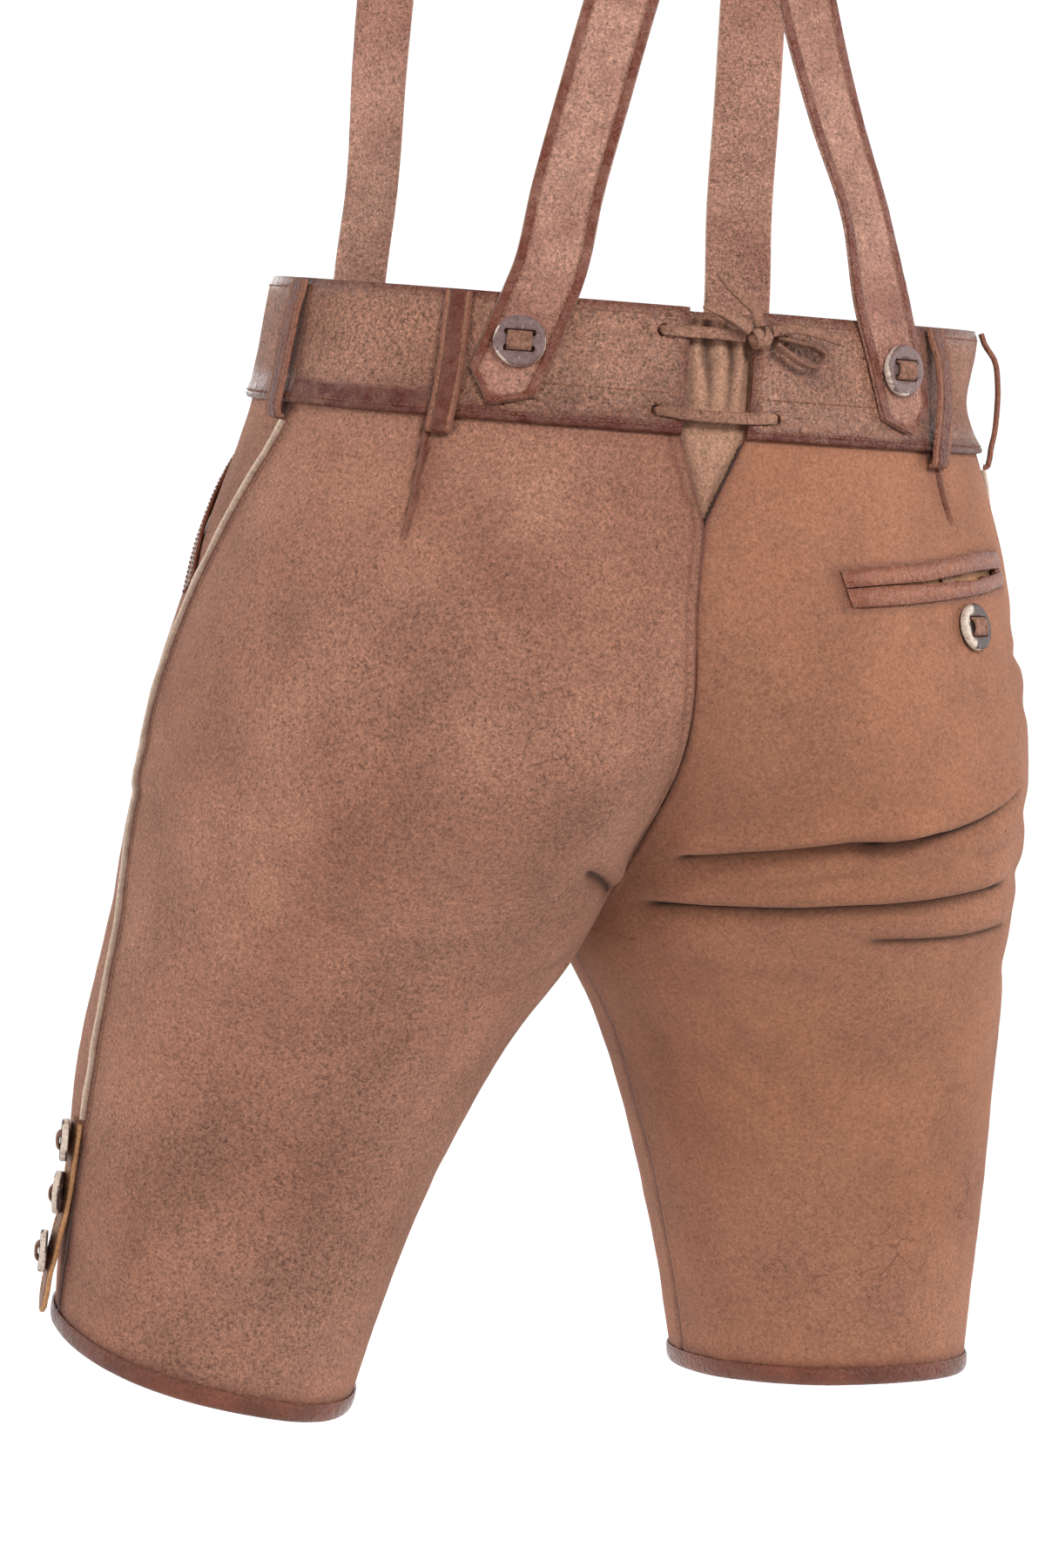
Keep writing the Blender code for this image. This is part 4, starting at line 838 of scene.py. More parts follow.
INSEAM_TURN = 179.92
SEAM_STEP = math.degrees(HALF_SEAM / 0.20)       # turn that HALF_SEAM takes, 0.20 m out
SEAM_LAP = 0.0054                        # how far the left panel laps over the right one
Grid = namedtuple("Grid", "columns apart fold_apart")     # rows apart outside and in the folds
FRONT_GRID = Grid(96, 0.0030, 0.0020)
BACK_GRIDS = {LEFT: Grid(140, 0.0024, 0.0016), RIGHT: Grid(146, 0.0023, 0.0011)}
FOLD_TOP, FOLD_FOOT = -0.208, -0.306

# Darker clouds in the dye, and places where the grain has cracked.
STAINS = (
    Patch(LEFT, 62, -0.190, 26, 0.045, 0.38), Patch(LEFT, 40, -0.150, 20, 0.030, 0.30),
    Patch(LEFT, 92, -0.350, 22, 0.050, 0.35), Patch(LEFT, 60, -0.430, 30, 0.045, 0.55),
    Patch(LEFT, 100, -0.470, 30, 0.040, 0.50), Patch(LEFT, 70, -0.510, 30, 0.030, 0.45),
    Patch(LEFT, 105, -0.240, 22, 0.035, 0.22), Patch(RIGHT, 88, -0.350, 20, 0.035, 0.18),
    Patch(RIGHT, 60, -0.440, 30, 0.035, 0.16), Patch(RIGHT, 100, -0.160, 16, 0.050, 0.12),
    Patch(LEFT, -60, -0.200, 26, 0.050, 0.35), Patch(RIGHT, -70, -0.330, 30, 0.060, 0.35),
    Patch(LEFT, -100, -0.420, 26, 0.050, 0.40), Patch(RIGHT, -40, -0.150, 20, 0.040, 0.25),
)
CRACKS = (
    Patch(LEFT, 89, -0.216, 7, 0.007, 0.9), Patch(LEFT, 84, -0.318, 5, 0.006, 0.7),
    Patch(RIGHT, 84, -0.470, 12, 0.020, 0.8), Patch(RIGHT, 52, -0.440, 9, 0.022, 0.8),
    Patch(RIGHT, 112, -0.474, 9, 0.014, 0.7), Patch(RIGHT, 66, -0.390, 9, 0.014, 0.6),
    Patch(RIGHT, 62, -0.152, 6, 0.012, 0.40), Patch(LEFT, 100, -0.250, 6, 0.008, 0.5),
    Patch(RIGHT, -80, -0.380, 12, 0.020, 0.7), Patch(LEFT, -76, -0.300, 10, 0.016, 0.7),
)

Dart = namedtuple("Dart", "side turn_top z_top turn_foot z_foot")
DARTS = (
    Dart(LEFT, 46.2, -0.0600, 48.5, -0.1190),
    Dart(RIGHT, 48.4, -0.0600, 47.8, -0.0950),
)


def notch_half(z):
    """Half the width of the open notch at centre back."""
    return NOTCH_HALF * held((z - NOTCH_TIP) / (-BAND_TALL - NOTCH_TIP))


def panel_start(z, front):
    """The turn of a panel's edge at the centre seam, or at the inseam below the crotch."""
    half = CLOSED_SEAM + (0.0 if front else notch_half(z))
    return np.where(z > CROTCH, turn_at(z, half), INSEAM_TURN)


def panel_rows(apart, fold_apart):
    """Heights of a panel's rows, closer where the seat folds."""
    rows = [PANEL_TOP]
    while rows[-1] > HEM + 0.001:
        folds = FOLD_FOOT < rows[-1] < FOLD_TOP
        rows.append(rows[-1] - (fold_apart if folds else apart))
    return np.array(rows[:-1] + [HEM])


def panel(name, side, front):
    """Front or back panel of one leg, from the band to the hem."""
    grid = FRONT_GRID if front else BACK_GRIDS[side]
    columns = grid.columns
    rows = panel_rows(grid.apart, grid.fold_apart)
    start = panel_start(rows, front)
    seam = ring_at(rows).seam
    end = seam - SEAM_STEP if front else seam + SEAM_STEP
    start = -start if front else start
    shares = np.linspace(0.0, 1.0, columns)
    shares = shares - 0.60 * np.sin(2 * math.pi * shares) / (2 * math.pi)
    turns = start[:, None] + (end - start)[:, None] * shares
    heights = np.repeat(rows[:, None], columns, axis=1)
    heights = heights + fold_pull(side, turns, heights)
    if not front:
        turns = turns + dart_pull(side, turns, heights)
    scale = metres_per_degree(side, turns, heights)
    from_centre = np.abs(turns - start[:, None]) * scale
    from_side = np.abs(turns - end[:, None]) * scale
    # the centre seam is lapped and the side seam stands up a little
    if side == LEFT:
        edge = 0.0005 * ridge(from_centre, 0.0030) - 0.0003 * ridge(from_centre, 0.0004)
        edge = edge - 0.0004 * ridge(from_centre - SEAM_LAP, 0.0014)
        burnish = 0.70 * ridge(from_centre, 0.0014)
        burnish = burnish + 0.34 * ridge(from_centre - SEAM_LAP, 0.0012)
        burnish = burnish + 0.16 * ridge(from_centre, 0.010)
    else:
        edge = -0.0007 * ridge(from_centre, 0.0012) + 0.0004 * ridge(from_centre - 0.0040, 0.0022)
        burnish = 0.80 * ridge(from_centre, 0.0010) + 0.14 * ridge(from_centre, 0.007)
    edge = edge + 0.0009 * ridge(from_side, 0.0026) - 0.0003 * ridge(from_side - 0.0040, 0.0009)
    burnish = burnish + 0.70 * ridge(from_side, 0.0030) + 0.22 * ridge(from_side, 0.009)
    parted = fade((SLIT_TOP - heights) / 0.004) * (not front)
    # painted shade along the panel's top, under the band's lower edge
    burnish = burnish + 0.20 * fade((heights + BAND_TALL + 0.005) / 0.005)
    burnish = burnish + 0.50 * ridge(heights - HEM - HEM_TALL, 0.0045)
    if not front:
        edge, burnish = add_dart(side, turns, heights, scale, edge, burnish)
    holes = None
    if not front and side == RIGHT:
        slit = slit_at(turns)
        inside = np.abs(heights - slit.z) < SLOT_HALF
        inside = inside & (turns < SLOT_TURNS[0]) & (turns > SLOT_TURNS[1])
        holes = inside[:-1, :-1] & inside[1:, 1:]
        near = np.abs(heights - slit.z) - 0.0085
        ends = fade((78.5 - turns) / 3.0) * fade((turns - 29.0) / 3.0)
        burnish = burnish + 0.50 * ridge(np.maximum(near, 0.0), 0.0030) * ends
    stain = patches(STAINS, side, turns, heights)
    face = body(side, turns, heights)
    stain = stain + 0.25 * lumps(face, 0.060, 21)
    warm = (0.85 if side == RIGHT else 0.10) + 0.3 * lumps(face, 0.09, 22)
    # painted shade: dark in the bottoms of the folds, and a dark line in the open gap beside the
    # side slit
    crease_shade = fold_crease_shade(side, turns, heights) + 0.9 * parted * ridge(from_side, 0.0022)
    marks = {"burnish": held(burnish), "stain": held(stain), "warm": held(warm),
             "crack": held(patches(CRACKS, side, turns, heights)), "crease_shade": held(crease_shade)}
    outer = layer(side, turns, heights, edge)
    inner = layer(side, turns, heights, edge * 0.4 - SUEDE)
    return dress(name, shell(name, outer, inner, marks, holes), "brushed_goat_suede")


def dart_line(dart, heights):
    """How far down the dart each height lies, and the turn of its line there."""
    share = (heights - dart.z_top) / (dart.z_foot - dart.z_top)
    return share, dart.turn_top + (dart.turn_foot - dart.turn_top) * held(share)


def dart_pull(side, turns, heights):
    """Draw the columns of the grid together at a dart."""
    pull = np.zeros_like(turns)
    for dart in DARTS:
        if dart.side == side:
            share, line = dart_line(dart, heights)
            near = (turns - line) * ridge(turns - line, 4.5)
            pull = pull - 0.68 * near * fade((1.7 - share) / 0.7)
    return pull


def add_dart(side, turns, heights, scale, edge, burnish):
    """A pleat stitched down below the band: raised, reddened, with a dark line on each side,
    and a soft painted shade beside it that fades towards its foot.
    """
    for dart in DARTS:
        if dart.side != side:
            continue
        share, line = dart_line(dart, heights)
        away = (turns - line) * scale
        strength = fade((1.02 - share) / 0.10) * (share > -0.3)
        half = 0.0021 - 0.0009 * held(share)
        apart = np.abs(away) - half
        edge = edge + 0.0013 * fade(-apart / 0.0012) * strength
        edge = edge - 0.0008 * ridge(apart - 0.0002, 0.0006) * strength
        edge = edge - 0.0010 * ridge(away - 0.0090, 0.0050) * strength * fade((1 - share) / 0.5)
        burnish = burnish + 0.85 * ridge(apart, 0.0006) * strength
        burnish = burnish + 0.42 * fade(-apart / 0.0008) * strength
        # painted shade: a soft dark band beside the pleat, strongest near its top
        burnish = burnish + 0.40 * ridge(away - 0.0040, 0.0060) * fade((1.1 - share) / 0.6)
    return edge, burnish


# ------------------------------------------------------------------ waistband

BAND_SEAM = 14.0
BAND_COLUMNS = 96
LOOP_TURN = 50.0                         # about where the back belt loops stand
BORDER = 0.0052                          # burnished strip along the band's lower edge
STITCH_LOW = 0.0034                      # its stitches, above that edge


def band_face(rise):
    """Distance out of the band's outer face, a height above its lower edge."""
    roll = (BAND_ROLL - BAND_FACE) * fade((0.0100 - rise) / 0.0080)
    rounded = 0.0011 * (1 - fade(rise / 0.0012)) + 0.0015 * fade((rise - 0.0535) / 0.0065) ** 2
    groove = 0.00035 * ridge(rise - STITCH_LOW, 0.0008) + 0.00022 * ridge(rise - 0.0552, 0.0007)
    return BAND_FACE + roll - rounded - groove


def waistband(name, side, front):
    """One quarter of the waistband."""
    edge_x = HALF_SEAM if front else NOTCH_HALF
    up = np.concatenate([np.linspace(0.0, 0.0110, 16), np.linspace(0.0125, 0.0520, 24),
                         np.linspace(0.0530, 0.0600, 11)])
    profile = [(rise - BAND_TALL, float(band_face(rise))) for rise in up]
    profile += [(-0.0002, BAND_BACK + 0.0006)]
    profile += [(z, BAND_BACK) for z in np.linspace(-0.0020, -0.0526, 16)]
    profile += [(-0.0532, GAP + 0.0003), (-BAND_TALL, GAP + 0.0003)]
    profile = np.array(profile)
    shares = np.linspace(0.0, 1.0, BAND_COLUMNS)[:, None]
    z = profile[:, 0][None, :]
    start = turn_at(z, edge_x, front)
    seam = BAND_SEAM + (-0.07 if front else 0.07)
    turns = start + (seam - start) * shares
    heights = np.broadcast_to(z, turns.shape)
    out = np.broadcast_to(profile[:, 1], turns.shape)
    rise = heights + BAND_TALL
    scale = metres_per_degree(side, turns, heights)
    from_end = np.abs(turns - start) * scale
    showing = (out > 0.0) | (rise > 0.0585)
    face = body(side, turns, heights)
    wander = 0.0016 * lumps(face, 0.024, 16)
    left_end = fade((LOOP_TURN - turns) / 3.0) if side == LEFT and not front else 0.0
    border = BORDER + 0.0060 * left_end + wander
    burnish = 0.85 * fade((border + 0.0020 - rise) / 0.0045)
    burnish = burnish + (0.22 + 0.30 * left_end) * fade((0.0220 - rise) / 0.0150)
    burnish = burnish + 0.80 * ridge(rise - BAND_TALL, 0.0042)
    burnish = burnish + 0.75 * ridge(from_end, 0.0040) * (not front)
    ironed = 0.35 if front else 0.75 * fade((turns - LOOP_TURN) / 4.0)
    ironed = ironed + 0.35 * lumps(face, 0.035, 15)
    ironed = ironed + 0.75 * ridge(rise - 0.0570, 0.0055) + 0.60 * ridge(rise - 0.0090, 0.0050)
    ironed = ironed + 0.80 * ridge(from_end - 0.0030, 0.0040)
    # painted shade on the band round each belt loop that stands off it
    for loop in BELT_LOOPS:
        if loop.side == side:
            burnish = burnish + 0.45 * ridge((turns - loop.turn) * scale, 0.0095)
    ends = 0.0006 * ridge(from_end - 0.0045, 0.0012) - 0.0009 * ridge(from_end, 0.0008)
    out = out + np.where(showing & (rise > 0.001), ends, 0.0)
    marks = {"burnish": held(burnish) * showing, "polish": held(ironed),
             "stain": held(0.25 + 0.5 * lumps(face, 0.03, 5))}
    mesh = lofted(name, layer(side, turns, heights, out), marks)
    piece = dress(name, mesh, "waistband_suede")
    if not front:
        cut_eyelets(piece, side)
    return piece


def cut_eyelets(piece, side):
    """Punch the two lace holes through the band."""
    for z in (EYELET_UPPER, EYELET_LOWER):
        turn = float(turn_at(z, EYELET_X))
        shape = bmesh.new()
        bmesh.ops.create_cone(shape, cap_ends=True, segments=28, radius1=EYELET_WIDE / 2,
                              radius2=EYELET_WIDE / 2, depth=0.016)
        axis = Vector(outward(side, turn, z))
        place = Matrix.Translation(Vector(layer(side, turn, z, 0.0)))
        place = place @ Vector((0, 0, 1)).rotation_difference(axis).to_matrix().to_4x4()
        bmesh.ops.transform(shape, matrix=place, verts=shape.verts)
        punch(piece, shape)


def punch(piece, shape):
    """Cut a shape out of a piece for good."""
    mesh = bpy.data.meshes.new("cutter")
    shape.to_mesh(mesh)
    shape.free()
    cutter = put("cutter", mesh)
    boolean = piece.modifiers.new("punch", "BOOLEAN")
    boolean.operation = "DIFFERENCE"
    boolean.solver = "EXACT"
    boolean.object = cutter
    settle(piece)
    bpy.data.objects.remove(cutter, do_unlink=True)


# ------------------------------------------------------------------ gusset behind the notch

GUSSET_TOP = -0.0050
GUSSET_FOOT = -0.1090
GUSSET_THICK = 0.0015
GUSSET_OUT = -SUEDE - 0.0005
GATHER_WAVES = 5
GATHER_HIGH = 0.0028


def back_gusset():
    """Soft suede behind the notch, gathered towards its top."""
    z = np.linspace(GUSSET_TOP, GUSSET_FOOT, 84)[:, None]
    share = np.linspace(-1.0, 1.0, 61)[None, :]
    half = 0.0262 - 0.0200 * held((-BAND_TALL - z) / 0.049)
    x = share * half
    z = np.broadcast_to(z, x.shape)
    showing = held((notch_half(z) - 0.0015 - np.abs(x)) / 0.004)
    drift = lumps(np.stack([x, z * 0.6, 0 * x], axis=-1), 0.016, 4)
    wave = 0.5 + 0.5 * np.cos(GATHER_WAVES * math.pi * (share + 0.16 * drift - 1.5 * (z + 0.03)))
    gathered = showing * (1 - 0.92 * fade((-z - 0.012) / 0.050))
    gather = GATHER_HIGH * wave ** 1.5 * gathered
    puff = 0.0010 * showing * fade((-0.045 - z) / 0.03)
    out = GUSSET_OUT + gather + puff
    outer, inner = (centre_grid(x, z, out - under) for under in (0.0, GUSSET_THICK))
    # painted shade: darker down the valleys of the gathers, most at the top, and where the notch's
    # edges cover it; near-black in the deepest valleys
    marks = {"burnish": held((1 - 1.25 * wave) * gathered * 0.9 + 0.5 * (1 - showing)),
             "crease_shade": held(0.46 - 2.2 * wave) * gathered * fade((-z - 0.004) / 0.02)}
    return dress("back_gusset", shell("back_gusset", outer, inner, marks), "gusset_suede")


# ------------------------------------------------------------------ lace and its bow

Thread = namedtuple("Thread", "x z out width roll")
KNOT_X = -0.0165
KNOT_Z = -0.0130
KNOT_OUT = 0.0080
LACE_OUT = BAND_FACE + GAP + THONG_THICK / 2 + 0.0006
INSIDE = BAND_BACK - GAP - THONG_THICK / 2 - 0.0005


def lace_side():
    """The lace at one pair of eyelets: in at the upper hole, down inside, out below."""
    hole = 0.0044
    return [
        Thread(0.0220, EYELET_UPPER, LACE_OUT, THONG_WIDE, 0),
        Thread(0.0270, EYELET_UPPER, LACE_OUT, 0.0052, 0),
        Thread(0.0298, EYELET_UPPER, 0.0030, hole, 0),
        Thread(0.0301, EYELET_UPPER, 0.0002, hole, 45),
        Thread(0.0300, EYELET_UPPER - 0.0012, INSIDE, hole, 90),
        Thread(0.0300, EYELET_UPPER - 0.0080, INSIDE, THONG_WIDE, 90),
        Thread(0.0300, EYELET_LOWER + 0.0080, INSIDE, THONG_WIDE, 90),
        Thread(0.0300, EYELET_LOWER + 0.0012, INSIDE, hole, 90),
        Thread(0.0301, EYELET_LOWER, 0.0002, hole, 45),
        Thread(0.0298, EYELET_LOWER, 0.0030, hole, 0),
        Thread(0.0270, EYELET_LOWER, LACE_OUT, 0.0052, 0),
        Thread(0.0220, EYELET_LOWER - 0.0004, LACE_OUT, THONG_WIDE, 0),
    ]


def lace_route():
    """Knot to the left eyelets, across below, up inside on the right, back to the knot."""
    left = lace_side()
    right = [Thread(-t.x, t.z, t.out, t.width, -t.roll) for t in reversed(left)]
    start = [Thread(KNOT_X + 0.0068, KNOT_Z + 0.0006, 0.0052, THONG_WIDE, 0),
             Thread(0.0040, EYELET_UPPER, 0.0052, THONG_WIDE, 0)]
    across = [Thread(0.0, EYELET_LOWER - 0.0012, LACE_OUT + 0.0006, THONG_WIDE, 0)]
    end = [Thread(KNOT_X - 0.0068, KNOT_Z - 0.0002, 0.0050, 0.0048, 0)]
    return start + left + across + right[:-1] + end


def thong_marks(strip):
    """Rubbed darker along both edges of a thong."""
    edge = np.abs(strip.across) / np.max(np.abs(strip.across))
    return {"burnish": 0.30 * fade((edge - 0.55) / 0.4),
            "stain": 0.35 + 0.4 * lumps(strip.sections, 0.006, 6)}


def lace():
    """The thong that draws the notch together."""
    route = []
    for thread_ in lace_route():
        point = centre_point(thread_.x, thread_.z, thread_.out)
        turned = math.radians(thread_.roll)
        up = np.array([0.0, 0.0, math.cos(turned)])
        route.append(np.concatenate((point, up + [math.sin(turned), 0, 0], [thread_.width / 2])))
    path = smooth_path(route, 0.0010)
    strip = ribbon(path[:, :3], path[:, 3:6], path[:, 6], THONG_THICK)
    return dress("lace", lofted("lace", strip.sections, thong_marks(strip)), "suede_thong")


Bow = namedtuple("Bow", "x z out on_edge")
BOW = {
    "lace_loop_left": (
        Bow(-0.0098, -0.0098, 0.0112, 0), Bow(-0.0035, -0.0062, 0.0132, 0),
        Bow(0.0060, -0.0016, 0.0130, 0), Bow(0.0118, 0.0008, 0.0104, 0),
        Bow(0.0070, -0.0002, 0.0078, 0), Bow(-0.0030, -0.0052, 0.0074, 0),
        Bow(-0.0094, -0.0086, 0.0082, 0)),
    "lace_loop_right": (
        Bow(-0.0236, -0.0155, 0.0094, 1), Bow(-0.0310, -0.0202, 0.0096, 1),
        Bow(-0.0395, -0.0245, 0.0098, 1), Bow(-0.0465, -0.0235, 0.0098, 1),
        Bow(-0.0487, -0.0190, 0.0098, 1), Bow(-0.0440, -0.0157, 0.0096, 1),
        Bow(-0.0350, -0.0140, 0.0094, 1), Bow(-0.0240, -0.0122, 0.0094, 1)),
    "lace_tail_left": (
        Bow(-0.0150, -0.0080, 0.0112, 0), Bow(-0.0128, 0.0010, 0.0078, 0),
        Bow(-0.0075, 0.0060, 0.0066, 0), Bow(0.0000, 0.0120, 0.0078, 0),
        Bow(0.0055, 0.0172, 0.0092, 0)),
    "lace_tail_right": (
        Bow(-0.0200, -0.0098, 0.0132, 0), Bow(-0.0290, -0.0078, 0.0146, 0),
        Bow(-0.0400, -0.0088, 0.0152, 0), Bow(-0.0545, -0.0118, 0.0140, 0)),
}


def bow_strand(name, places):
    """One loop or tail of the bow."""
    route = []
    for place in places:
        turn = float(turn_at(place.z, abs(place.x)))
        side = LEFT if place.x >= 0 else RIGHT
        route.append(np.append(on_face(side, turn, place.z, place.out), place.on_edge))
    path = smooth_path(route, 0.0009)
    points, face, on_edge = path[:, :3], path[:, 3:6], path[:, 6:7]
    across = np.cross(directions(points), face) * (1 - on_edge) + face * on_edge
    strip = ribbon(points, across, THONG_WIDE / 2, THONG_THICK + 0.0004)
    piece = dress(name, lofted(name, strip.sections, thong_marks(strip)), "suede_thong")
    return piece


def knot():
    """The tied middle of the bow: two wraps of thong drawn tight over a small core."""
    place = frame_on(RIGHT, float(turn_at(KNOT_Z, -KNOT_X)), KNOT_Z, KNOT_OUT)
    shape = bmesh.new()
    core = place @ Matrix.Diagonal((0.0116, 0.0082, 0.0078, 1.0))
    bmesh.ops.create_uvsphere(shape, u_segments=24, v_segments=16, radius=0.5, matrix=core)
    for shift, lean, tall, deep in ((0.0018, 18.0, 0.0047, 0.0050),
                                    (-0.0022, -24.0, 0.0044, 0.0047)):
        tilt = math.radians(lean)
        ring = []
        for angle in np.linspace(0, 2 * math.pi, 41):
            y, z = tall * math.cos(angle), deep * math.sin(angle)
            ring.append(place @ Vector((shift + y * math.sin(tilt), y * math.cos(tilt), z)))
        axis = place.to_3x3() @ Vector((math.cos(tilt), -math.sin(tilt), 0))
        strip = ribbon(np.array(ring), np.tile(axis, (len(ring), 1)), THONG_WIDE / 2 * 0.8,
                       THONG_THICK * 0.8)
        shape.from_mesh(lofted("wrap", strip.sections[:-1]))
    mesh = bpy.data.meshes.new("lace_knot")
    shape.to_mesh(mesh)
    shape.free()
    return dress("lace_knot", mesh, "suede_thong")


# ------------------------------------------------------------------ belt loops

BeltLoop = namedtuple("BeltLoop", "name side turn stand_off")
BELT_LOOPS = (
    BeltLoop("belt_loop_back_L", LEFT, 49.0, 0.0010),
    BeltLoop("belt_loop_back_R", RIGHT, 49.5, 0.0060),
    BeltLoop("belt_loop_side_L", LEFT, 10.5, 0.0022),
    BeltLoop("belt_loop_side_R", RIGHT, 19.0, 0.0125),
    BeltLoop("belt_loop_front_L", LEFT, -38.0, 0.0040),
    BeltLoop("belt_loop_front_R", RIGHT, -38.0, 0.0040),
)
LOOP_WIDE = 0.0130
LOOP_THICK = 0.0022
LOOP_MARGIN = 0.0021                     # from a loop's edge to its row of stitches
LOOP_ROUTE = (
    (-0.0012, 0.0043, 0.0), (-0.0060, 0.0044, 0.15), (-0.0150, 0.0048, 0.65),
    (-0.0270, 0.0048, 1.0), (-0.0400, 0.0048, 1.0), (-0.0510, 0.0050, 0.60),
    (-0.0590, 0.0053, 0.20), (-0.0645, 0.0048, 0.03), (-0.0672, 0.0032, 0.0),
    (-0.0668, 0.0018, 0.0),
)


def belt_loop(spec):
    """A folded strip: glossy down its middle, with a row of stitches along each edge."""
    route = []
    for z, out, share in LOOP_ROUTE:
        point = layer(spec.side, spec.turn, z, out + spec.stand_off * share)
        route.append(np.concatenate((point, round_face(spec.side, spec.turn, z, out))))
    path = smooth_path(route, 0.0012)
    points, wide = path[:, :3], path[:, 3:6]

    def crown(inset):
        return 0.00035 * fade(inset / 0.0045) - 0.0003 * ridge(inset - LOOP_MARGIN, 0.0006)

    strip = ribbon(points, wide, LOOP_WIDE / 2, LOOP_THICK, lanes=25, crown=crown)
    inset = LOOP_WIDE / 2 - np.abs(strip.across)
    burnish = 0.95 * fade((inset - 0.0022) / 0.0014) + 0.55 * ridge(inset, 0.0010)
    marks = {"burnish": held(burnish) * strip.top}
    dress(spec.name, lofted(spec.name, strip.sections, marks), "loop_leather")
    face = unit(np.cross(wide, directions(points)))
    stitch_edges("belt_loops", points, unit(wide), face, LOOP_WIDE / 2 - LOOP_MARGIN,
                 LOOP_THICK / 2, slice(1, -8))


# ------------------------------------------------------------------ back pocket

Slit = namedtuple("Slit", "turn z open above below")
POCKET_SLIT = (
    Slit(75.5, -0.1265, 0.0003, 0.0075, 0.0085), Slit(68.0, -0.1242, 0.0004, 0.0078, 0.0088),
    Slit(60.0, -0.1222, 0.0007, 0.0078, 0.0082), Slit(52.0, -0.1200, 0.0016, 0.0078, 0.0072),
    Slit(44.0, -0.1180, 0.0020, 0.0078, 0.0066), Slit(38.0, -0.1168, 0.0014, 0.0076, 0.0064),
    Slit(32.0, -0.1160, 0.0005, 0.0070, 0.0062),
)
SLOT_HALF = 0.0032
SLOT_TURNS = (73.5, 34.0)                # the slit is cut open between these turns


def slit_at(turn):
    """The slit's row at any turn."""
    return Slit(*columns_at(POCKET_SLIT, turn))


def pocket_strip(name, turns, low, high, out, thick, crown, rows, finish, marks=None):
    """A strip that follows the slit, between two heights measured from it."""
    share = np.linspace(0.0, 1.0, rows)[:, None]
    heights = slit_at(turns).z + low + (high - low) * share
    heights = np.broadcast_to(heights, (rows, len(turns)))
    turns = np.broadcast_to(turns, heights.shape)
    puff = crown * np.sin(math.pi * np.clip(share, 0.02, 0.98)) ** 0.6
    ends = 0.30 + 0.70 * fade(np.minimum(turns - turns.min(), turns.max() - turns) / 2.6)
    outer = layer(RIGHT, turns, heights, out + (thick + puff) * ends)
    inner = layer(RIGHT, turns, heights, out + 0 * heights)
    painted = {label: amount(share) + 0 * heights for label, amount in (marks or {}).items()}
    return dress(name, shell(name, outer, inner, painted), finish)


def back_pocket():
    """Two rolled welts, the facing seen through the slit and the tab for the button."""
    turns = np.linspace(POCKET_SLIT[0].turn, POCKET_SLIT[-1].turn, 110)
    slit = slit_at(turns)
    rolled = {"burnish": lambda share: 0.65 * (1 - ridge(share - 0.5, 0.34)),
              "polish": lambda share: 0.9 * ridge(share - 0.55, 0.35)}
    for name, low, high in (("pocket_welt_upper", slit.open, slit.open + slit.above),
                            ("pocket_welt_lower", -slit.open - slit.below, -slit.open)):
        pocket_strip(name, turns, low, high, GAP, 0.0015, 0.0012, 15, "burnished_welt", rolled)
    # the facing is painted darker towards its top: painted shade under the upper welt
    pocket_strip("pocket_facing", turns, -0.011, 0.011, -SUEDE - GAP - 0.0014, 0.0008, 0.0, 9,
                 "orange_tan_split",
                 {"burnish": lambda share: 0.75 * fade((share - 0.45) / 0.3)})
    tab = SLOT_HALF - GAP
    pocket_strip("pocket_tab", np.linspace(54.5, 51.0, 12), -tab, tab, -0.0022, 0.0009, 0.0003,
                 9, "suede_thong")


def pocket_stitches():
    """An uneven hand-sewn row round the pocket's welts."""
    turns = np.linspace(76.6, 31.5, 60)
    first, last = POCKET_SLIT[0], POCKET_SLIT[-1]
    row = slit_at(np.clip(turns, last.turn, first.turn))
    wander = 0.0006 * np.sin(turns * 0.9) + 0.0004 * np.sin(turns * 2.3)
    for edge in (row.open + row.above + 0.0014, -row.open - row.below - 0.0014):
        stitch_on("pocket", RIGHT, turns, row.z + edge + wander, 0.0002)
    heights = np.linspace(first.z + 0.0092, first.z - 0.0102, 12)
    stitch_on("pocket", RIGHT, 76.8 + 0.25 * np.sin(heights * 900), heights, 0.0002)


# ------------------------------------------------------------------ front pockets and flap

FRONT_POCKET = ((-35.0, -0.0740), (-24.0, -0.0980), (-13.0, -0.1260), (-4.0, -0.1540))
FRONT_WELT_WIDE = 0.0110


def front_pocket_welt(side):
    """Welt of the slanted front pocket."""
    name = f"front_pocket_welt_{SIDE_NAMES[side]}"
    route = [on_face(side, turn, z, GAP + 0.0013) for turn, z in FRONT_POCKET]
    path = smooth_path(route, 0.0016)
    points, face = path[:, :3], path[:, 3:6]
    across = np.cross(face, directions(points))
    strip = ribbon(points, across, FRONT_WELT_WIDE / 2, 0.0018, lanes=15,
                   crown=lambda inset: 0.0006 * fade(inset / 0.004))
    marks = {"burnish": 0.35 + 0.6 * ridge(strip.across, 0.0032)}
    dress(name, lofted(name, strip.sections, marks), "burnished_welt")
    stitch_edges("flap_and_front_pockets", points, unit(across), face,
                 FRONT_WELT_WIDE / 2 - 0.0016, 0.0012)


FLAP_MARGIN = 0.0050                     # from the flap's edge to its row of stitches
Flap = namedtuple("Flap", "z half out")
FLAP = (
    Flap(-0.0060, 0.0740, 0.0031), Flap(-0.0240, 0.0740, 0.0031), Flap(-0.0420, 0.0725, 0.0031),
    Flap(-0.0550, 0.0715, 0.0040), Flap(-0.0605, 0.0710, 0.0040), Flap(-0.0680, 0.0705, 0.0028),
    Flap(-0.0800, 0.0695, 0.0012), Flap(-0.1050, 0.0675, 0.0009), Flap(-0.1300, 0.0650, 0.0009),
    Flap(-0.1550, 0.0620, 0.0010), Flap(-0.1750, 0.0585, 0.0012), Flap(-0.1880, 0.0540, 0.0014),
)


def flap_at(z):
    """Half width and distance out of the flap at any height."""
    return columns_at(FLAP, z)[1:]


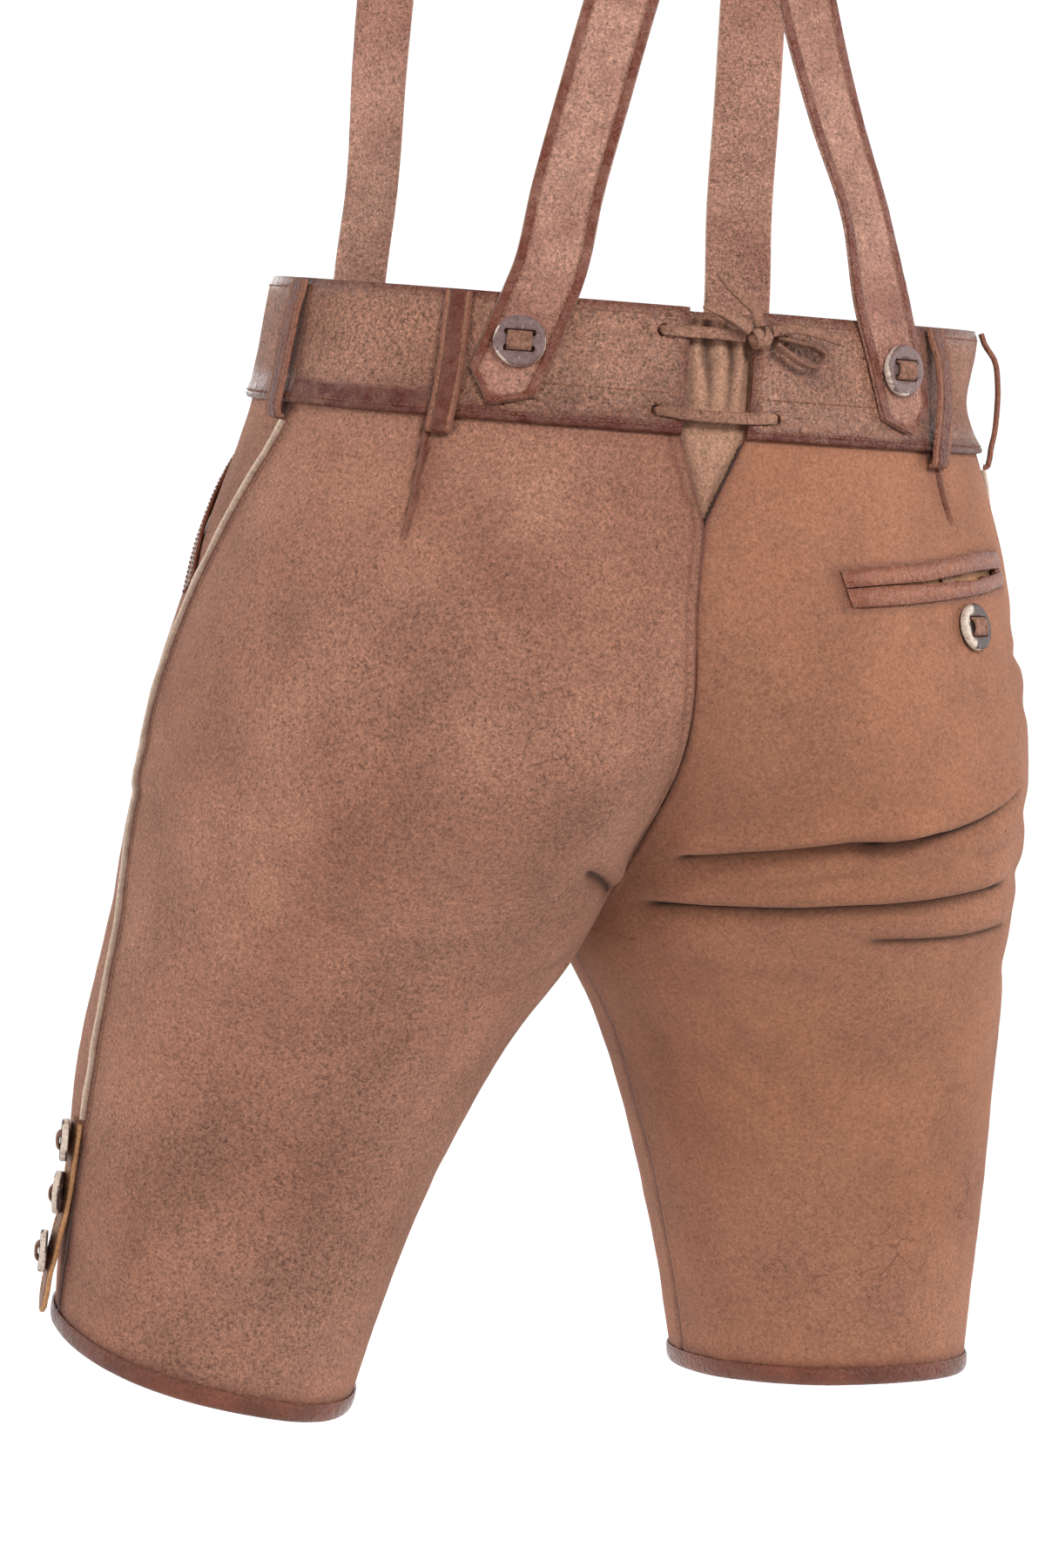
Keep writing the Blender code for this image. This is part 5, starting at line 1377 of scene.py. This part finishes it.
def front_flap():
    """The buttoned drop front, stitched down both sides and along its foot."""
    z = np.linspace(FLAP[0].z, FLAP[-1].z, 88)[:, None]
    share = np.linspace(-1.0, 1.0, 71)[None, :]
    half, out = flap_at(z)
    x = share * half
    z = np.broadcast_to(z, x.shape)
    out = np.broadcast_to(out, x.shape) + 0.0003
    inset = np.minimum(np.minimum(half - np.abs(x), FLAP[0].z - z), z - FLAP[-1].z)
    groove = 0.0003 * ridge(inset - FLAP_MARGIN, 0.0008)
    marks = {"burnish": held(0.9 * ridge(inset, 0.0040) + 0.35 * ridge(inset, 0.0110)),
             "stain": held(0.3 * lumps(np.stack([x, z, 0 * x], axis=-1), 0.04, 8) + 0.1)}
    outer = centre_grid(x, z, out + SUEDE - 0.0003 - groove, front=True)
    inner = centre_grid(x, z, out, front=True)
    dress("front_flap", shell("front_flap", outer, inner, marks), "brushed_goat_suede")
    rows = np.linspace(FLAP[0].z - FLAP_MARGIN, FLAP[-1].z + FLAP_MARGIN, 70)
    foot = np.linspace(0.0005, 0.049, 24)
    for side in (RIGHT, LEFT):
        for level, x in ((rows, flap_at(rows)[0] - FLAP_MARGIN), (np.full(24, rows[-1]), foot)):
            stitch_on("flap_and_front_pockets", side, turn_at(level, x, True), level,
                      flap_at(level)[1] + SUEDE)


# ------------------------------------------------------------------ side seams and hems

def side_seam(side):
    """The pale raw edge that stands up along a side seam."""
    name = f"side_seam_{SIDE_NAMES[side]}"
    z = np.arange(-BAND_TALL - 0.009, SLIT_TOP + 0.006, -0.0020)
    seam = ring_at(z).seam
    scale = metres_per_degree(side, seam, z)
    wander = 0.00010 * np.sin(z * 260) + 0.00005 * np.sin(z * 730 + 1)
    tall = 0.0034 + 0.00012 * np.sin(z * 240)
    profile = ((-0.0011, GAP), (0.0011, GAP), (0.0010, 0.0024), (0.0006, 0.0), (0.0, 0.0003),
               (-0.0006, 0.0), (-0.0010, 0.0024))
    sections = []
    for across, out in profile:
        height = np.where(out < 0.0004, tall + out, out) if out != GAP else np.full(len(z), GAP)
        sections.append(layer(side, seam + (across + wander) / scale, z, height))
    sections = np.swapaxes(np.array(sections), 0, 1)
    burnish = np.zeros(sections.shape[:2])
    burnish[:, [2, 6]] = 0.55
    burnish[:, :2] = 1.0
    dress(name, lofted(name, sections, {"burnish": burnish}), "raw_cut_edge")
    for edge in (-1, 1):
        stitch_on("side_seams", side, seam + edge * 0.0042 / scale, z, 0.0004)


HEM_PROFILE = (
    (HEM_TALL, GAP), (HEM_TALL + 0.0002, 0.0011), (HEM_TALL - 0.0006, 0.0016),
    (HEM_TALL - 0.0014, 0.0015), (HEM_TALL - 0.0022, 0.0017), (0.0034, 0.0020), (0.0012, 0.0019),
    (-0.0006, 0.0014), (-0.0014, 0.0006), (-0.0017, -0.0006), (-0.0017, -SUEDE + 0.0004),
    (-0.0012, -SUEDE - 0.0011), (0.0002, -SUEDE - 0.0018), (0.0022, -SUEDE - 0.0019),
    (HEM_TALL, -SUEDE - 0.0014), (HEM_TALL, -SUEDE - GAP), (-0.0004, -SUEDE - GAP), (-0.0004, GAP),
)


def hem_binding(side):
    """Glossy leather folded over the leg's lower edge, open at the side slit."""
    name = f"hem_binding_{SIDE_NAMES[side]}"
    outline = []
    for rise, out in HEM_PROFILE:
        z = HEM + rise
        seam = float(ring_at(z).seam)
        turns = np.concatenate((np.linspace(seam + SEAM_STEP, INSEAM_TURN, 100),
                                np.linspace(-INSEAM_TURN, seam - SEAM_STEP, 90)))
        outline.append(layer(side, turns, z, out))
    sections = np.swapaxes(np.array(outline), 0, 1)
    shine = 0.35 + 0.6 * lumps(sections, 0.018, 9)
    marks = {"burnish": held(shine), "polish": np.full(sections.shape[:2], 0.9)}
    dress(name, lofted(name, sections, marks), "burnished_binding")
    z = HEM + HEM_TALL - 0.0014
    stitch_on("hems", side, np.linspace(8.0, 179.5, 90), z, 0.0014)
    stitch_on("hems", side, np.linspace(-179.5, -12.0, 80), z, 0.0014)


def before_seam(side, z, distance):
    """The turn that lies a distance in front of the side seam."""
    seam = float(ring_at(z).seam)
    return seam - distance / float(metres_per_degree(side, seam, z))


def placket_stand(side, z):
    """How far a placket stands off the leg towards its loose foot: only the left one does."""
    return (0.0055 if side == LEFT else 0.0) * float(fade((SLIT_TOP - 0.026 - z) / 0.062))


def placket(side):
    """The buttoned strip in front of the side slit, with a tan cut edge."""
    name = f"knee_placket_{SIDE_NAMES[side]}"
    top, foot = SLIT_TOP + 0.004, HEM + (0.0055 if side == LEFT else HEM_TALL + 0.0016)
    route = []
    for z in np.linspace(top, foot, 60):
        turn = before_seam(side, z, PLACKET_WIDE / 2 + 0.0004)
        close = min(1.0, 0.35 + (z - foot) / 0.007)
        point = layer(side, turn, z, GAP + 0.0015 + placket_stand(side, z))
        half = PLACKET_WIDE / 2 * close
        route.append(np.concatenate((point, round_face(side, turn, z), [half])))
    route = np.array(route)
    points, wide, half = route[:, :3], route[:, 3:6], route[:, 6]
    strip = ribbon(points, wide, half, PLACKET_THICK, bend=4.0, lanes=17,
                   crown=lambda inset: -0.0003 * ridge(inset - PLACKET_MARGIN, 0.0007))
    inset = half[:, None] - np.abs(strip.across)
    marks = {"burnish": np.clip(fade((inset - 0.0026) / 0.0008) * strip.top, 0, 0.85)}
    dress(name, lofted(name, strip.sections, marks), "orange_tan_split")
    face = unit(np.cross(wide, directions(points)))
    stitch_edges("hems", points, unit(wide), face, PLACKET_WIDE / 2 - PLACKET_MARGIN, 0.0010,
                 slice(2, -6))


# ------------------------------------------------------------------ braces

Station = namedtuple("Station", "x y z nx ny nz")
BRACE = (
    Station(0.0760, 0.1120, 0.050, 0.45, 0.89, 0.10),
    Station(0.0620, 0.0990, 0.095, 0.38, 0.92, 0.08),
    Station(0.0470, 0.0890, 0.147, 0.28, 0.96, 0.00),
    Station(0.0270, 0.0880, 0.220, 0.15, 0.98, -0.08),
    Station(0.0000, 0.0960, 0.300, 0.00, 0.99, -0.05),
    Station(-0.0330, 0.0960, 0.370, -0.12, 0.95, 0.30),
    Station(-0.0600, 0.0620, 0.425, -0.16, 0.62, 0.77),
    Station(-0.0740, 0.0120, 0.446, -0.18, 0.05, 0.98),
    Station(-0.0830, -0.0380, 0.430, -0.15, -0.50, 0.85),
    Station(-0.0900, -0.0860, 0.375, -0.14, -0.93, 0.35),
    Station(-0.0950, -0.1080, 0.300, -0.16, -0.97, 0.15),
    Station(-0.0990, -0.1160, 0.200, -0.25, -0.96, 0.04),
    Station(-0.1010, -0.1160, 0.110, -0.35, -0.93, 0.00),
    Station(-0.1010, -0.1140, 0.050, -0.42, -0.90, 0.00),
)
BRACE_BUTTON_TURN = 60.0
BRACE_BUTTON_Z = -0.0230
BRACE_FRONT_X = 0.1030
BRACE_FRONT_Z = -0.0240
BRACE_TIP = 0.0310
BRACE_OUT = BAND_FACE + GAP + STRAP_THICK / 2 + 0.0006
CROSSING_Z = 0.300
CROSSING_LIFT = 0.0024
MARGIN = 0.0052                          # from a brace's edge to its row of stitches


def brace_end(side, turn_button, z_button, lean, along):
    """A place on the band, measured along a brace from its button, up the brace."""
    scale = float(metres_per_degree(side, turn_button, z_button))
    turn = turn_button + along * math.sin(math.radians(lean)) / scale
    return on_face(side, turn, z_button + along * math.cos(math.radians(lean)), BRACE_OUT)


def brace_stations(side):
    """The whole centre line of the brace that is buttoned at the back on this side."""
    back = [brace_end(side, BRACE_BUTTON_TURN, BRACE_BUTTON_Z, STRAP_LEAN, along)
            for along in (-BRACE_TIP, -0.020, -0.010, 0.0, 0.010, 0.020, 0.032)]
    middle = [(side * s.x, s.y, s.z, side * s.nx, s.ny, s.nz) for s in BRACE]
    turn = -float(turn_at(BRACE_FRONT_Z, BRACE_FRONT_X))
    front = [brace_end(-side, turn, BRACE_FRONT_Z, 0.0, along)
             for along in (0.032, 0.020, 0.010, 0.0, -0.010, -0.020, -BRACE_TIP)]
    return np.array(back + middle + front)


def brace(side):
    """One brace: suede down its middle, both margins folded, ironed glossy and stitched."""
    name = f"brace_{SIDE_NAMES[side]}"
    path = smooth_path(brace_stations(side), 0.0029)
    from_crossing = np.abs(path[:, 2] - CROSSING_Z) / 0.060
    behind = fade(path[:, 1] / 0.05)
    lift = CROSSING_LIFT * fade(1.4 - from_crossing) * behind
    lift = lift if side == RIGHT else -lift
    face = path[:, 3:6]
    points = path[:, :3] + face * lift[:, None]
    along = travelled(points)
    from_tip = np.minimum(along, along[-1] - along)
    half = STRAP_WIDE / 2 * held(0.12 + 0.88 * from_tip / 0.0115)
    across = np.cross(directions(points), face)
    bend = 0.6 + 3.0 * held(1 - points[:, 2] / 0.060)

    def crown(inset):
        margin = 0.00035 * fade((MARGIN - inset) / 0.0012)
        return margin - 0.00035 * ridge(inset - MARGIN, 0.0007)

    strip = ribbon(points, across, half, STRAP_THICK, bend=bend, lanes=33, crown=crown)
    crumple = 0.00022 * lumps(strip.sections, 0.0050, 11) * strip.top
    sections = strip.sections + face[:, None] * crumple[..., None]
    inset = np.minimum(half[:, None] - np.abs(strip.across), from_tip[:, None] + 0.001)
    glossy = 0.95 * fade((MARGIN + 0.0010 - inset) / 0.0022) + 0.15
    rubbed = held(glossy + 0.35 * lumps(sections, 0.012, 12))
    raw = ridge(strip.across / half[:, None] + side, 0.035) * ~strip.top
    marks = {"burnish": rubbed * strip.top, "pale": held(raw)}
    dress(name, lofted(name, sections, marks), "waxed_strap_leather")
    reach = np.clip(half - MARGIN, 0.0005, None)[:, None]
    lift = STRAP_THICK / 2 - bend[:, None] * reach ** 2 - 0.0001
    stitch_edges("braces", points, unit(across), face, reach, lift, slice(3, -3))


# ------------------------------------------------------------------ buttons and thongs

def standing(x_axis, y_axis, z_axis, place):
    """The matrix that stands a thing at a place with its axes along these."""
    matrix = Matrix((x_axis, y_axis, z_axis)).transposed().to_4x4()
    matrix.translation = Vector(place)
    return matrix


def frame_on(side, turn, z, out):
    """Axes of a button on the leather: its face outwards, its slots level."""
    face = Vector(outward(side, turn, z))
    up = (Vector((0, 0, 1)) - face * face.z).normalized()
    right = up.cross(face).normalized()
    return standing(right, up, right.cross(up), layer(side, turn, z, out))


# Each knee button: how far below the slit's top, how far it hangs off the placket and how many
# degrees it tips forward on its thong.
Knee = namedtuple("Knee", "drop lift tip")
KNEE_BUTTONS = (Knee(0.0060, 0.0014, 14.0), Knee(0.0330, 0.0010, 22.0),
                Knee(0.0640, 0.0014, 12.0))

FLAP_BUTTON_X = 0.0580
FLAP_BUTTON_Z = -0.0240
POCKET_BUTTON_TURN = 50.8
POCKET_BUTTON_Z = -0.1430
BUTTON_SIDES = 72
BUTTON_TURNING = (           # share of the radius and height, up the rim and over the face
    (0.40, 0.0), (0.93, 0.0), (0.975, 0.0003), (1.0, 0.0009), (1.0, 0.0014), (1.0, 0.0019),
    (1.0, 0.0024), (0.993, 0.0029), (0.975, 0.0033), (0.94, 0.0036), (0.90, 0.0037),
    (0.80, 0.0037), (0.60, 0.0036), (0.40, 0.0036),
)
TURNED_HIGH = max(height for _, height in BUTTON_TURNING)

# Where a button shows its cream core: towards which angle of its face, over how many degrees,
# how far in from the rim (share of the radius), and how dark its face was dyed.
Wear = namedtuple("Wear", "angle half inner dyed")
WEAR = {"pocket": Wear(180, 72, 0.70, 1.0), "back": Wear(215, 60, 0.95, 0.0),
        "front": Wear(30, 60, 0.90, 0.3), "flap": Wear(250, 60, 0.88, 0.5),
        "knee": Wear(0, 60, 0.92, 0.9)}


def button(name, place, wide, seed):
    """A slice of horn: dark polished face, cream core in the rim, two sawn slots."""
    wear = next(wear for word, wear in WEAR.items() if word in name)
    angles = np.linspace(0, 2 * math.pi, BUTTON_SIDES, endpoint=False) + 0.02
    wobble = 1 + 0.012 * np.sin(2 * angles + seed) + 0.006 * np.sin(5 * angles + 2 * seed)
    rings, cream = [], []
    for share, height in BUTTON_TURNING:
        radius = wide / 2 * share * wobble
        rings.append(np.stack([radius * np.cos(angles), radius * np.sin(angles),
                               np.full(BUTTON_SIDES, height * BUTTON_THICK / TURNED_HIGH)],
                              axis=-1))
        band = 0.0026 + 0.0005 * np.sin(angles * 3 + seed)
        foot = 0.0008 + 0.0003 * np.sin(angles * 2 - seed)
        rim = (height > foot) & (height < band) & (share > 0.9)
        turned = np.degrees(np.abs(np.angle(np.exp(1j * (angles - math.radians(wear.angle))))))
        edge = wear.half + 9 * np.sin(angles * 7 + seed)
        inner = wear.inner + 0.05 * np.sin(angles * 5 + 2 * seed)
        worn = (turned < edge) & (share > inner) & (height > foot)
        cream.append((rim | worn).astype(float))
    cream = np.array(cream)
    mesh = lofted(name, np.array(rings), {"cream": cream, "dyed": np.full_like(cream, wear.dyed)})
    piece = dress(name, mesh, "polished_staghorn", sharp=38.0)
    shape = bmesh.new()
    for level in (-SLOT_APART / 2, SLOT_APART / 2):
        size = Matrix.Diagonal((wide * 0.61, SLOT_TALL, BUTTON_THICK * 3, 1.0))
        bmesh.ops.create_cube(shape, size=1.0, matrix=Matrix.Translation((0, level, 0)) @ size)
    corners = [edge for edge in shape.edges
               if abs(edge.verts[0].co.z - edge.verts[1].co.z) > BUTTON_THICK]
    bmesh.ops.bevel(shape, geom=corners, offset=0.0005, segments=2, affect="EDGES")
    punch(piece, shape)
    piece.data.transform(place)
    return piece


def button_thong(name, place, wide):
    """The leather that holds a button: up one slot, over the bar, down the other."""
    half, thick = wide * 0.24, 0.0017
    reach = SLOT_APART / 2
    top = BUTTON_THICK + 0.0004 + thick / 2
    route = ((-reach, 0.0002), (-reach, 0.0022), (-reach + 0.0002, top - 0.0008),
             (-reach + 0.0014, top), (0.0, top + 0.0003), (reach - 0.0014, top),
             (reach - 0.0002, top - 0.0008), (reach, 0.0022), (reach, 0.0002))
    route = [tuple(place @ Vector((0.0, y, z))) for y, z in route]
    path = smooth_path(route, 0.0006)
    across = np.tile(-(place.to_3x3() @ Vector((1, 0, 0))), (len(path), 1))
    strip = ribbon(path, across, half, thick, lanes=11)
    marks = {"stain": 0.3 + 0.5 * lumps(strip.sections, 0.004, 14)}
    return dress(name, lofted(name, strip.sections, marks), "suede_thong")


def fasten(name, place, wide, seed):
    """A button and its thong."""
    button(name, place, wide, seed)
    button_thong(name.replace("button", "thong"), place, wide)


def buttons():
    """Every horn button of the garment."""
    on_brace = BRACE_OUT + STRAP_THICK / 2 + GAP
    front_turn = -float(turn_at(BRACE_FRONT_Z, BRACE_FRONT_X))
    flap_turn = -float(turn_at(FLAP_BUTTON_Z, FLAP_BUTTON_X))
    for side in (LEFT, RIGHT):
        end = SIDE_NAMES[side]
        fasten(f"button_brace_back_{end}",
               frame_on(side, BRACE_BUTTON_TURN, BRACE_BUTTON_Z, on_brace), BUTTON, 1.0 + side)
        fasten(f"button_brace_front_{end}",
               frame_on(side, front_turn, BRACE_FRONT_Z, on_brace), BUTTON, 2.0 + side)
        fasten(f"button_flap_{end}",
               frame_on(side, flap_turn, FLAP_BUTTON_Z, FLAP[0].out + SUEDE + GAP),
               KNEE_BUTTON, 3.5 + side)
        for number, knee in enumerate(KNEE_BUTTONS, start=1):
            z = SLIT_TOP - knee.drop
            turn = before_seam(side, z, PLACKET_WIDE / 2)
            loose = side == LEFT
            out = GAP + PLACKET_FACE + GAP + placket_stand(side, z) + knee.lift * loose
            place = frame_on(side, turn, z, out)
            place = place @ Matrix.Rotation(math.radians(-knee.tip * loose), 4, "Y")
            fasten(f"button_knee_{number}_{end}", place, KNEE_BUTTON, number * 1.7 + side)
    place = frame_on(RIGHT, POCKET_BUTTON_TURN, POCKET_BUTTON_Z, GAP + 0.0002)
    fasten("button_pocket", place, POCKET_BUTTON, 0.4)


# ------------------------------------------------------------------ rows of stitches

def seams():
    """Stitching of the band, the centre seam and the notch."""
    top_row = -0.0048
    for side in (LEFT, RIGHT):
        for front in (False, True):
            edge = HALF_SEAM if front else NOTCH_HALF
            for z in (STITCH_LOW - BAND_TALL, top_row):
                first = float(turn_at(z, edge + 0.006, front))
                last = BAND_SEAM + (-1.0 if front else 1.0)
                if z == top_row and side == LEFT and not front:
                    last = 63.0                  # hidden by the fold of the top edge from here
                out = float(band_face(z + BAND_TALL)) + 0.0002
                stitch_on("waistband", side, np.linspace(first, last, 110), z, out)
        first = float(turn_at(-0.0410, NOTCH_HALF + 0.006))
        stitch_on("waistband", side, np.linspace(first, 56.0, 40), -0.0410, BAND_FACE + 0.0002)
        rows = np.linspace(-0.006, -0.0525, 30)
        stitch_on("waistband", side, turn_at(rows, NOTCH_HALF + 0.0042), rows, BAND_FACE + 0.0001)
        rows = np.linspace(-0.0625, NOTCH_TIP - 0.002, 30)
        stitch_on("centre_seam", side, turn_at(rows, HALF_SEAM + notch_half(rows) + 0.0030), rows,
                  0.0004)
        if side == RIGHT:
            zigzag = 0.0004 * np.cos(np.arange(len(rows)) * math.pi)
            stitch_on("notch_whipping", side, turn_at(rows, notch_half(rows) - 0.0006 + zigzag),
                      rows, -0.0010)
        rows = np.linspace(-0.070, CROTCH + 0.006, 110)
        stitch_on("centre_seam", side, turn_at(rows, 0.0032 + 0 * rows, True), rows, 0.0003)
    rows = np.linspace(NOTCH_TIP - 0.003, CROTCH + 0.004, 120)
    stitch_on("centre_seam", LEFT, turn_at(rows, 0.0019 + 0 * rows), rows, 0.0004)


# ------------------------------------------------------------------ camera, light and stage

FLOOR = -1.02
VIEW_BEARING = 159.5
VIEW_DISTANCE = 2.40
VIEW_HEIGHT = -0.017
VIEW_TURN_LEFT = 0.79
VIEW_DOWN = 5.36
VIEW_ROLL = 4.5
LENS = 110.64


def round_about(bearing, distance, z):
    """A place by its bearing in degrees, 0 in front of the garment and 90 at its left."""
    bearing = math.radians(bearing)
    return Vector((math.sin(bearing) * distance, -math.cos(bearing) * distance, z))


def camera():
    """Behind the wearer and to their left, level with the seat."""
    place = round_about(VIEW_BEARING, VIEW_DISTANCE, VIEW_HEIGHT)
    level = Vector((-place.x, -place.y, 0)).normalized()
    level.rotate(Matrix.Rotation(math.radians(VIEW_TURN_LEFT), 3, "Z"))
    down = math.radians(VIEW_DOWN)
    ahead = level * math.cos(down) - Vector((0, 0, 1)) * math.sin(down)
    right = Vector((level.y, -level.x, 0))
    up = right.cross(ahead)
    roll = math.radians(VIEW_ROLL)
    across = right * math.cos(roll) + up * math.sin(roll)
    top = up * math.cos(roll) - right * math.sin(roll)
    data = bpy.data.cameras.new("camera")
    data.lens = LENS
    data.sensor_width = 36.0
    eye = put("camera", data)
    eye.matrix_world = standing(across, top, -ahead, place)
    bpy.context.scene.camera = eye


# The sweep's outline: how far out, and how high above the floor.
SWEEP = ((12.0, 0.0), (14.0, 0.2), (15.6, 0.9), (16.6, 2.2), (17.0, 4.5), (17.2, 16.0))


def stage():
    """A plain white sweep that the garment hangs well above."""
    material, tree, shader, place = new_material("white_paper_sweep")
    # paper lit from behind, brighter on the far side of the garment than round the camera
    deep = add(tree, "ShaderNodeSeparateXYZ", {0: place}).outputs["Y"]
    feed(tree, shader, {
        "Base Color": linear("8C8C8E"), "Roughness": 0.9, "Emission Color": linear("FFFFFF"),
        "Emission Strength": spread(tree, deep, -0.5, 2.0, 0.90, 0.16)})
    angles = np.linspace(0, 2 * math.pi, 73)[:-1]
    points = [(r * math.cos(a), r * math.sin(a), FLOOR + z) for r, z in SWEEP for a in angles]
    points.append((0.0, 0.0, FLOOR))
    count = len(angles)
    faces = []
    for row in range(len(SWEEP) - 1):
        for k in range(count):
            a, b = row * count + k, row * count + (k + 1) % count
            faces.append((a, b, b + count, a + count))
    faces += [(len(points) - 1, (k + 1) % count, k) for k in range(count)]
    mesh = bpy.data.meshes.new("sweep")
    mesh.from_pydata(points, [], faces)
    mesh.shade_smooth()
    mesh.materials.append(material)
    put("sweep", mesh)


Lamp = namedtuple("Lamp", "name bearing distance z size power")
LAMPS = (
    Lamp("key_softbox", 186.0, 2.7, 1.50, 0.90, 64.0),
    Lamp("fill_softbox", 128.0, 3.2, 0.70, 1.6, 26.0),
    Lamp("right_softbox", 258.0, 2.4, 0.30, 1.1, 24.0),
    Lamp("left_softbox", 62.0, 2.8, 0.40, 1.1, 11.0),
    Lamp("front_softbox", 350.0, 3.0, 0.90, 2.0, 24.0),
)


def lights():
    """Large soft boxes all round and a bright room."""
    bpy.context.scene.view_settings.view_transform = "Standard"
    world = bpy.data.worlds.new("white_room")
    bpy.context.scene.world = world
    world.use_nodes = True
    room = world.node_tree
    feed(room, room.nodes["Background"], {"Color": linear("FFFFFF"), "Strength": 0.20})
    for lamp in LAMPS:
        data = bpy.data.lights.new(lamp.name, "AREA")
        data.shape = "SQUARE"
        data.size = lamp.size
        data.energy = lamp.power
        place = round_about(lamp.bearing, lamp.distance, lamp.z)
        aim = (Vector((0, 0, -0.25)) - place).to_track_quat("-Z", "Y").to_matrix().to_4x4()
        aim.translation = place
        put(lamp.name, data).matrix_world = aim


# ------------------------------------------------------------------ the garment

def garment():
    """Every piece of leather, horn and thread."""
    for side in (LEFT, RIGHT):
        end = SIDE_NAMES[side]
        for front, word in ((False, "back"), (True, "front")):
            panel(f"{word}_panel_{end}", side, front)
            waistband(f"waistband_{word}_{end}", side, front)
        side_seam(side)
        hem_binding(side)
        placket(side)
        front_pocket_welt(side)
        brace(side)
    back_pocket()
    pocket_stitches()
    front_flap()
    back_gusset()
    lace()
    knot()
    for name, places in BOW.items():
        bow_strand(name, places)
    for spec in BELT_LOOPS:
        belt_loop(spec)
    buttons()
    seams()
    sew()


camera()
garment()
stage()
lights()
